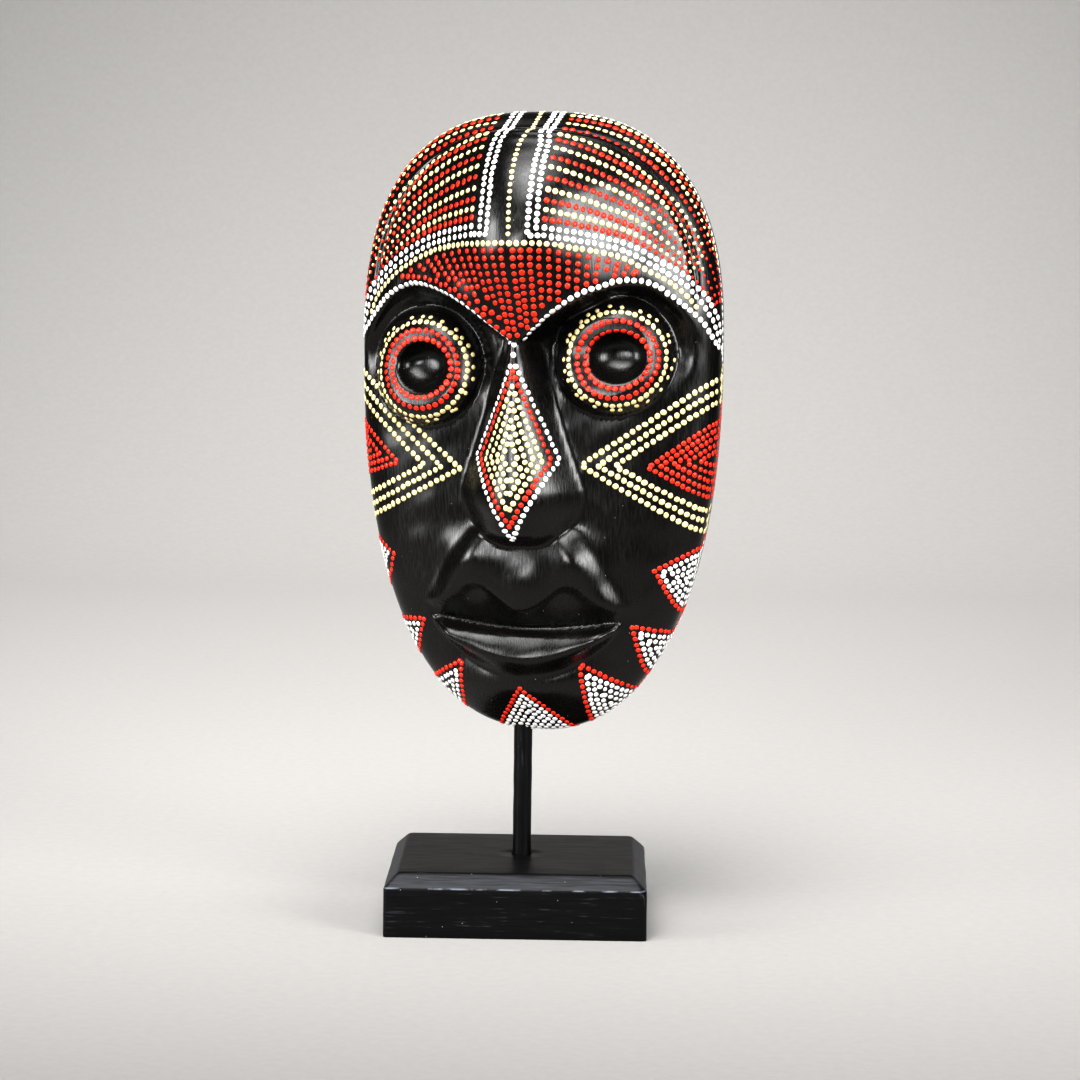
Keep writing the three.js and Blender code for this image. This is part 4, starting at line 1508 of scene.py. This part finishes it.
@dataclass(frozen=True)
class Studio:
    """Plain pale floor and backdrop, soft lights, and the camera at the photograph's angle."""

    lens: float = 114.67
    camera_place: tuple[float, float, float] = (0.0409, -1.8232, 0.4057)
    pitch: float = math.radians(6.33)
    heading: float = math.radians(0.98)
    roll: float = math.radians(0.72)
    gamma: float = 0.74
    air_strength: float = 0.12

    def _sweep(self) -> None:
        """Lay the floor and its backdrop as one sheet that curves up behind the object."""
        across = np.linspace(-3.0, 3.0, 9)
        turn = np.linspace(0, np.pi / 2, 16)
        forward = np.concatenate([[-3.0, -1.0, 0.0], 1.4 + 0.8 * np.sin(turn), [2.2]])
        upward = np.concatenate([[0.0, 0.0, 0.0], 0.8 * (1 - np.cos(turn)), [3.5]])
        x, y = np.meshgrid(across, forward)
        z = np.broadcast_to(upward[:, None], x.shape)
        material, tree = new_material("pale paper")
        place = add_node(tree, "TexCoord").outputs["Object"]
        fibre = add_node(tree, "TexNoise", {"Scale": 180.0}, {"Vector": place})
        tone = add_node(
            tree, "Mix", {"data_type": "RGBA", 6: linear("9c9a98"), 7: linear("a3a19f")}, {0: fibre}
        )
        shader = add_node(
            tree, "BsdfPrincipled", {"Roughness": 0.85}, {"Base Color": tone.outputs[2]}
        )
        add_node(tree, "OutputMaterial", {}, {0: shader})
        mesh = bpy.data.meshes.new("floor")
        cells = MaskBody._cells(len(across) - 1, len(forward) - 1)
        mesh.from_pydata(np.stack([x, y, z], -1).reshape(-1, 3).tolist(), [], cells.tolist())
        mesh.polygons.foreach_set("use_smooth", np.ones(len(cells), bool))
        mesh.materials.append(material)
        floor = bpy.data.objects.new("floor", mesh)
        bpy.context.scene.collection.objects.link(floor)

    @staticmethod
    def _light(
        name: str, place: tuple[float, float, float], size: tuple[float, float], power: float,
        spread: float,
        aim: tuple[float, float, float] = (0.0, 0.0, 0.25),
    ) -> None:
        """Add a soft light that faces the object.

        Args:
            name: Name of the light.
            place: Where it stands, in metres.
            size: Its width and height, in metres.
            power: Power in watts.
            spread: Full angle of its beam, in degrees, as a grid in front of it sets.
            aim: Place that it faces, in metres.
        """
        data = bpy.data.lights.new(name, "AREA")
        data.shape, data.size, data.size_y = "RECTANGLE", *size
        data.energy, data.spread = power, math.radians(spread)
        light = bpy.data.objects.new(name, data)
        light.visible_camera = False
        back = np.array(place) - np.array(aim)
        back = back / np.linalg.norm(back)
        right = np.cross([0.0, 0.0, 1.0], back)
        right = right / np.linalg.norm(right)
        turned = np.eye(4)
        turned[:3, 0], turned[:3, 1] = right, np.cross(back, right)
        turned[:3, 2], turned[:3, 3] = back, place
        light.matrix_world = Matrix(turned.tolist())
        bpy.context.scene.collection.objects.link(light)

    def _camera(self) -> None:
        """Set the camera: a long lens a little above the middle, looking slightly down."""
        data = bpy.data.cameras.new("camera")
        data.sensor_width, data.lens = 36.0, self.lens
        data.clip_start, data.clip_end = 0.05, 20.0
        cos, sin = math.cos, math.sin
        ahead = [sin(-self.heading) * cos(self.pitch), cos(self.heading) * cos(self.pitch)]
        forward = np.array([*ahead, -sin(self.pitch)])
        right = np.array([cos(self.heading), sin(self.heading), 0.0])
        up = np.cross(right, forward)
        turned = np.eye(4)
        turned[:3, 0] = right * cos(self.roll) + up * sin(self.roll)
        turned[:3, 1] = up * cos(self.roll) - right * sin(self.roll)
        turned[:3, 2], turned[:3, 3] = -forward, self.camera_place
        camera = bpy.data.objects.new("camera", data)
        camera.matrix_world = Matrix(turned.tolist())
        bpy.context.scene.collection.objects.link(camera)
        bpy.context.scene.camera = camera

    def build(self) -> None:
        """Set up floor, lights, surroundings and camera."""
        self._camera()
        self._sweep()
        self._light("right soft light", (1.25, -1.05, 0.7), (0.9, 0.9), 3.4, 45.0)
        self._light("left soft light", (-1.55, -0.75, 0.5), (0.9, 0.9), 3.0, 45.0)
        self._light("overhead soft light", (-0.1, -0.62, 1.28), (1.8, 1.2), 13.0, 65.0)
        self._light("low front light", (-0.55, -1.6, 0.55), (0.9, 0.5), 1.6, 45.0)
        self._light("backdrop light", (0.0, 0.7, 2.3), (1.8, 1.8), 38.0, 90.0, (0.0, 1.8, 0.3))
        view = bpy.context.scene.view_settings
        view.view_transform, view.gamma, view.exposure = "Standard", self.gamma, 0.0
        world = bpy.data.worlds.new("studio air")
        world.use_nodes = True
        air = world.node_tree.nodes["Background"]
        air.inputs["Color"].default_value = linear("c8ccd2")
        air.inputs["Strength"].default_value = self.air_strength
        bpy.context.scene.world = world


def clear_startup() -> None:
    """Remove the objects that a new Blender file starts with."""
    for name in ("Cube", "Light", "Camera"):
        if name in bpy.data.objects:
            bpy.data.objects.remove(bpy.data.objects[name])


def main() -> None:
    """Build the stand, the mask, its dots and the studio."""
    logging.basicConfig(level=logging.INFO, format="%(message)s")
    clear_startup()
    # The band from 26.1 to 33.2 mm is the chamfer, which gets painted sheen and a painted
    # highlight.
    stand_along_x = StandFinish(
        "black satin paint on sawn wood", (0.06, 1.0, 1.0), sheen_band=(26.1, 33.2)
    ).build()
    stand_along_z = StandFinish("black satin paint on turned wood", (1.0, 1.0, 0.05)).build()
    StandBase().build(stand_along_x)
    Rod().build(stand_along_z)
    skin = Skin()
    lacquer = LacquerFinish().build()
    back = LacquerFinish(
        "black paint on gouged wood", "100e0c", "221d18", (0.42, 0.62), 1.6, 0.09
    ).build()
    MaskBody(skin).build(lacquer, back)
    painter = DotPainter(skin)
    for pattern in (ForeheadPattern, EyePattern, NosePattern, CheekPattern, JawPattern):
        pattern(painter).paint()
    painter.build()
    Studio().build()


if __name__ == "__main__":
    main()
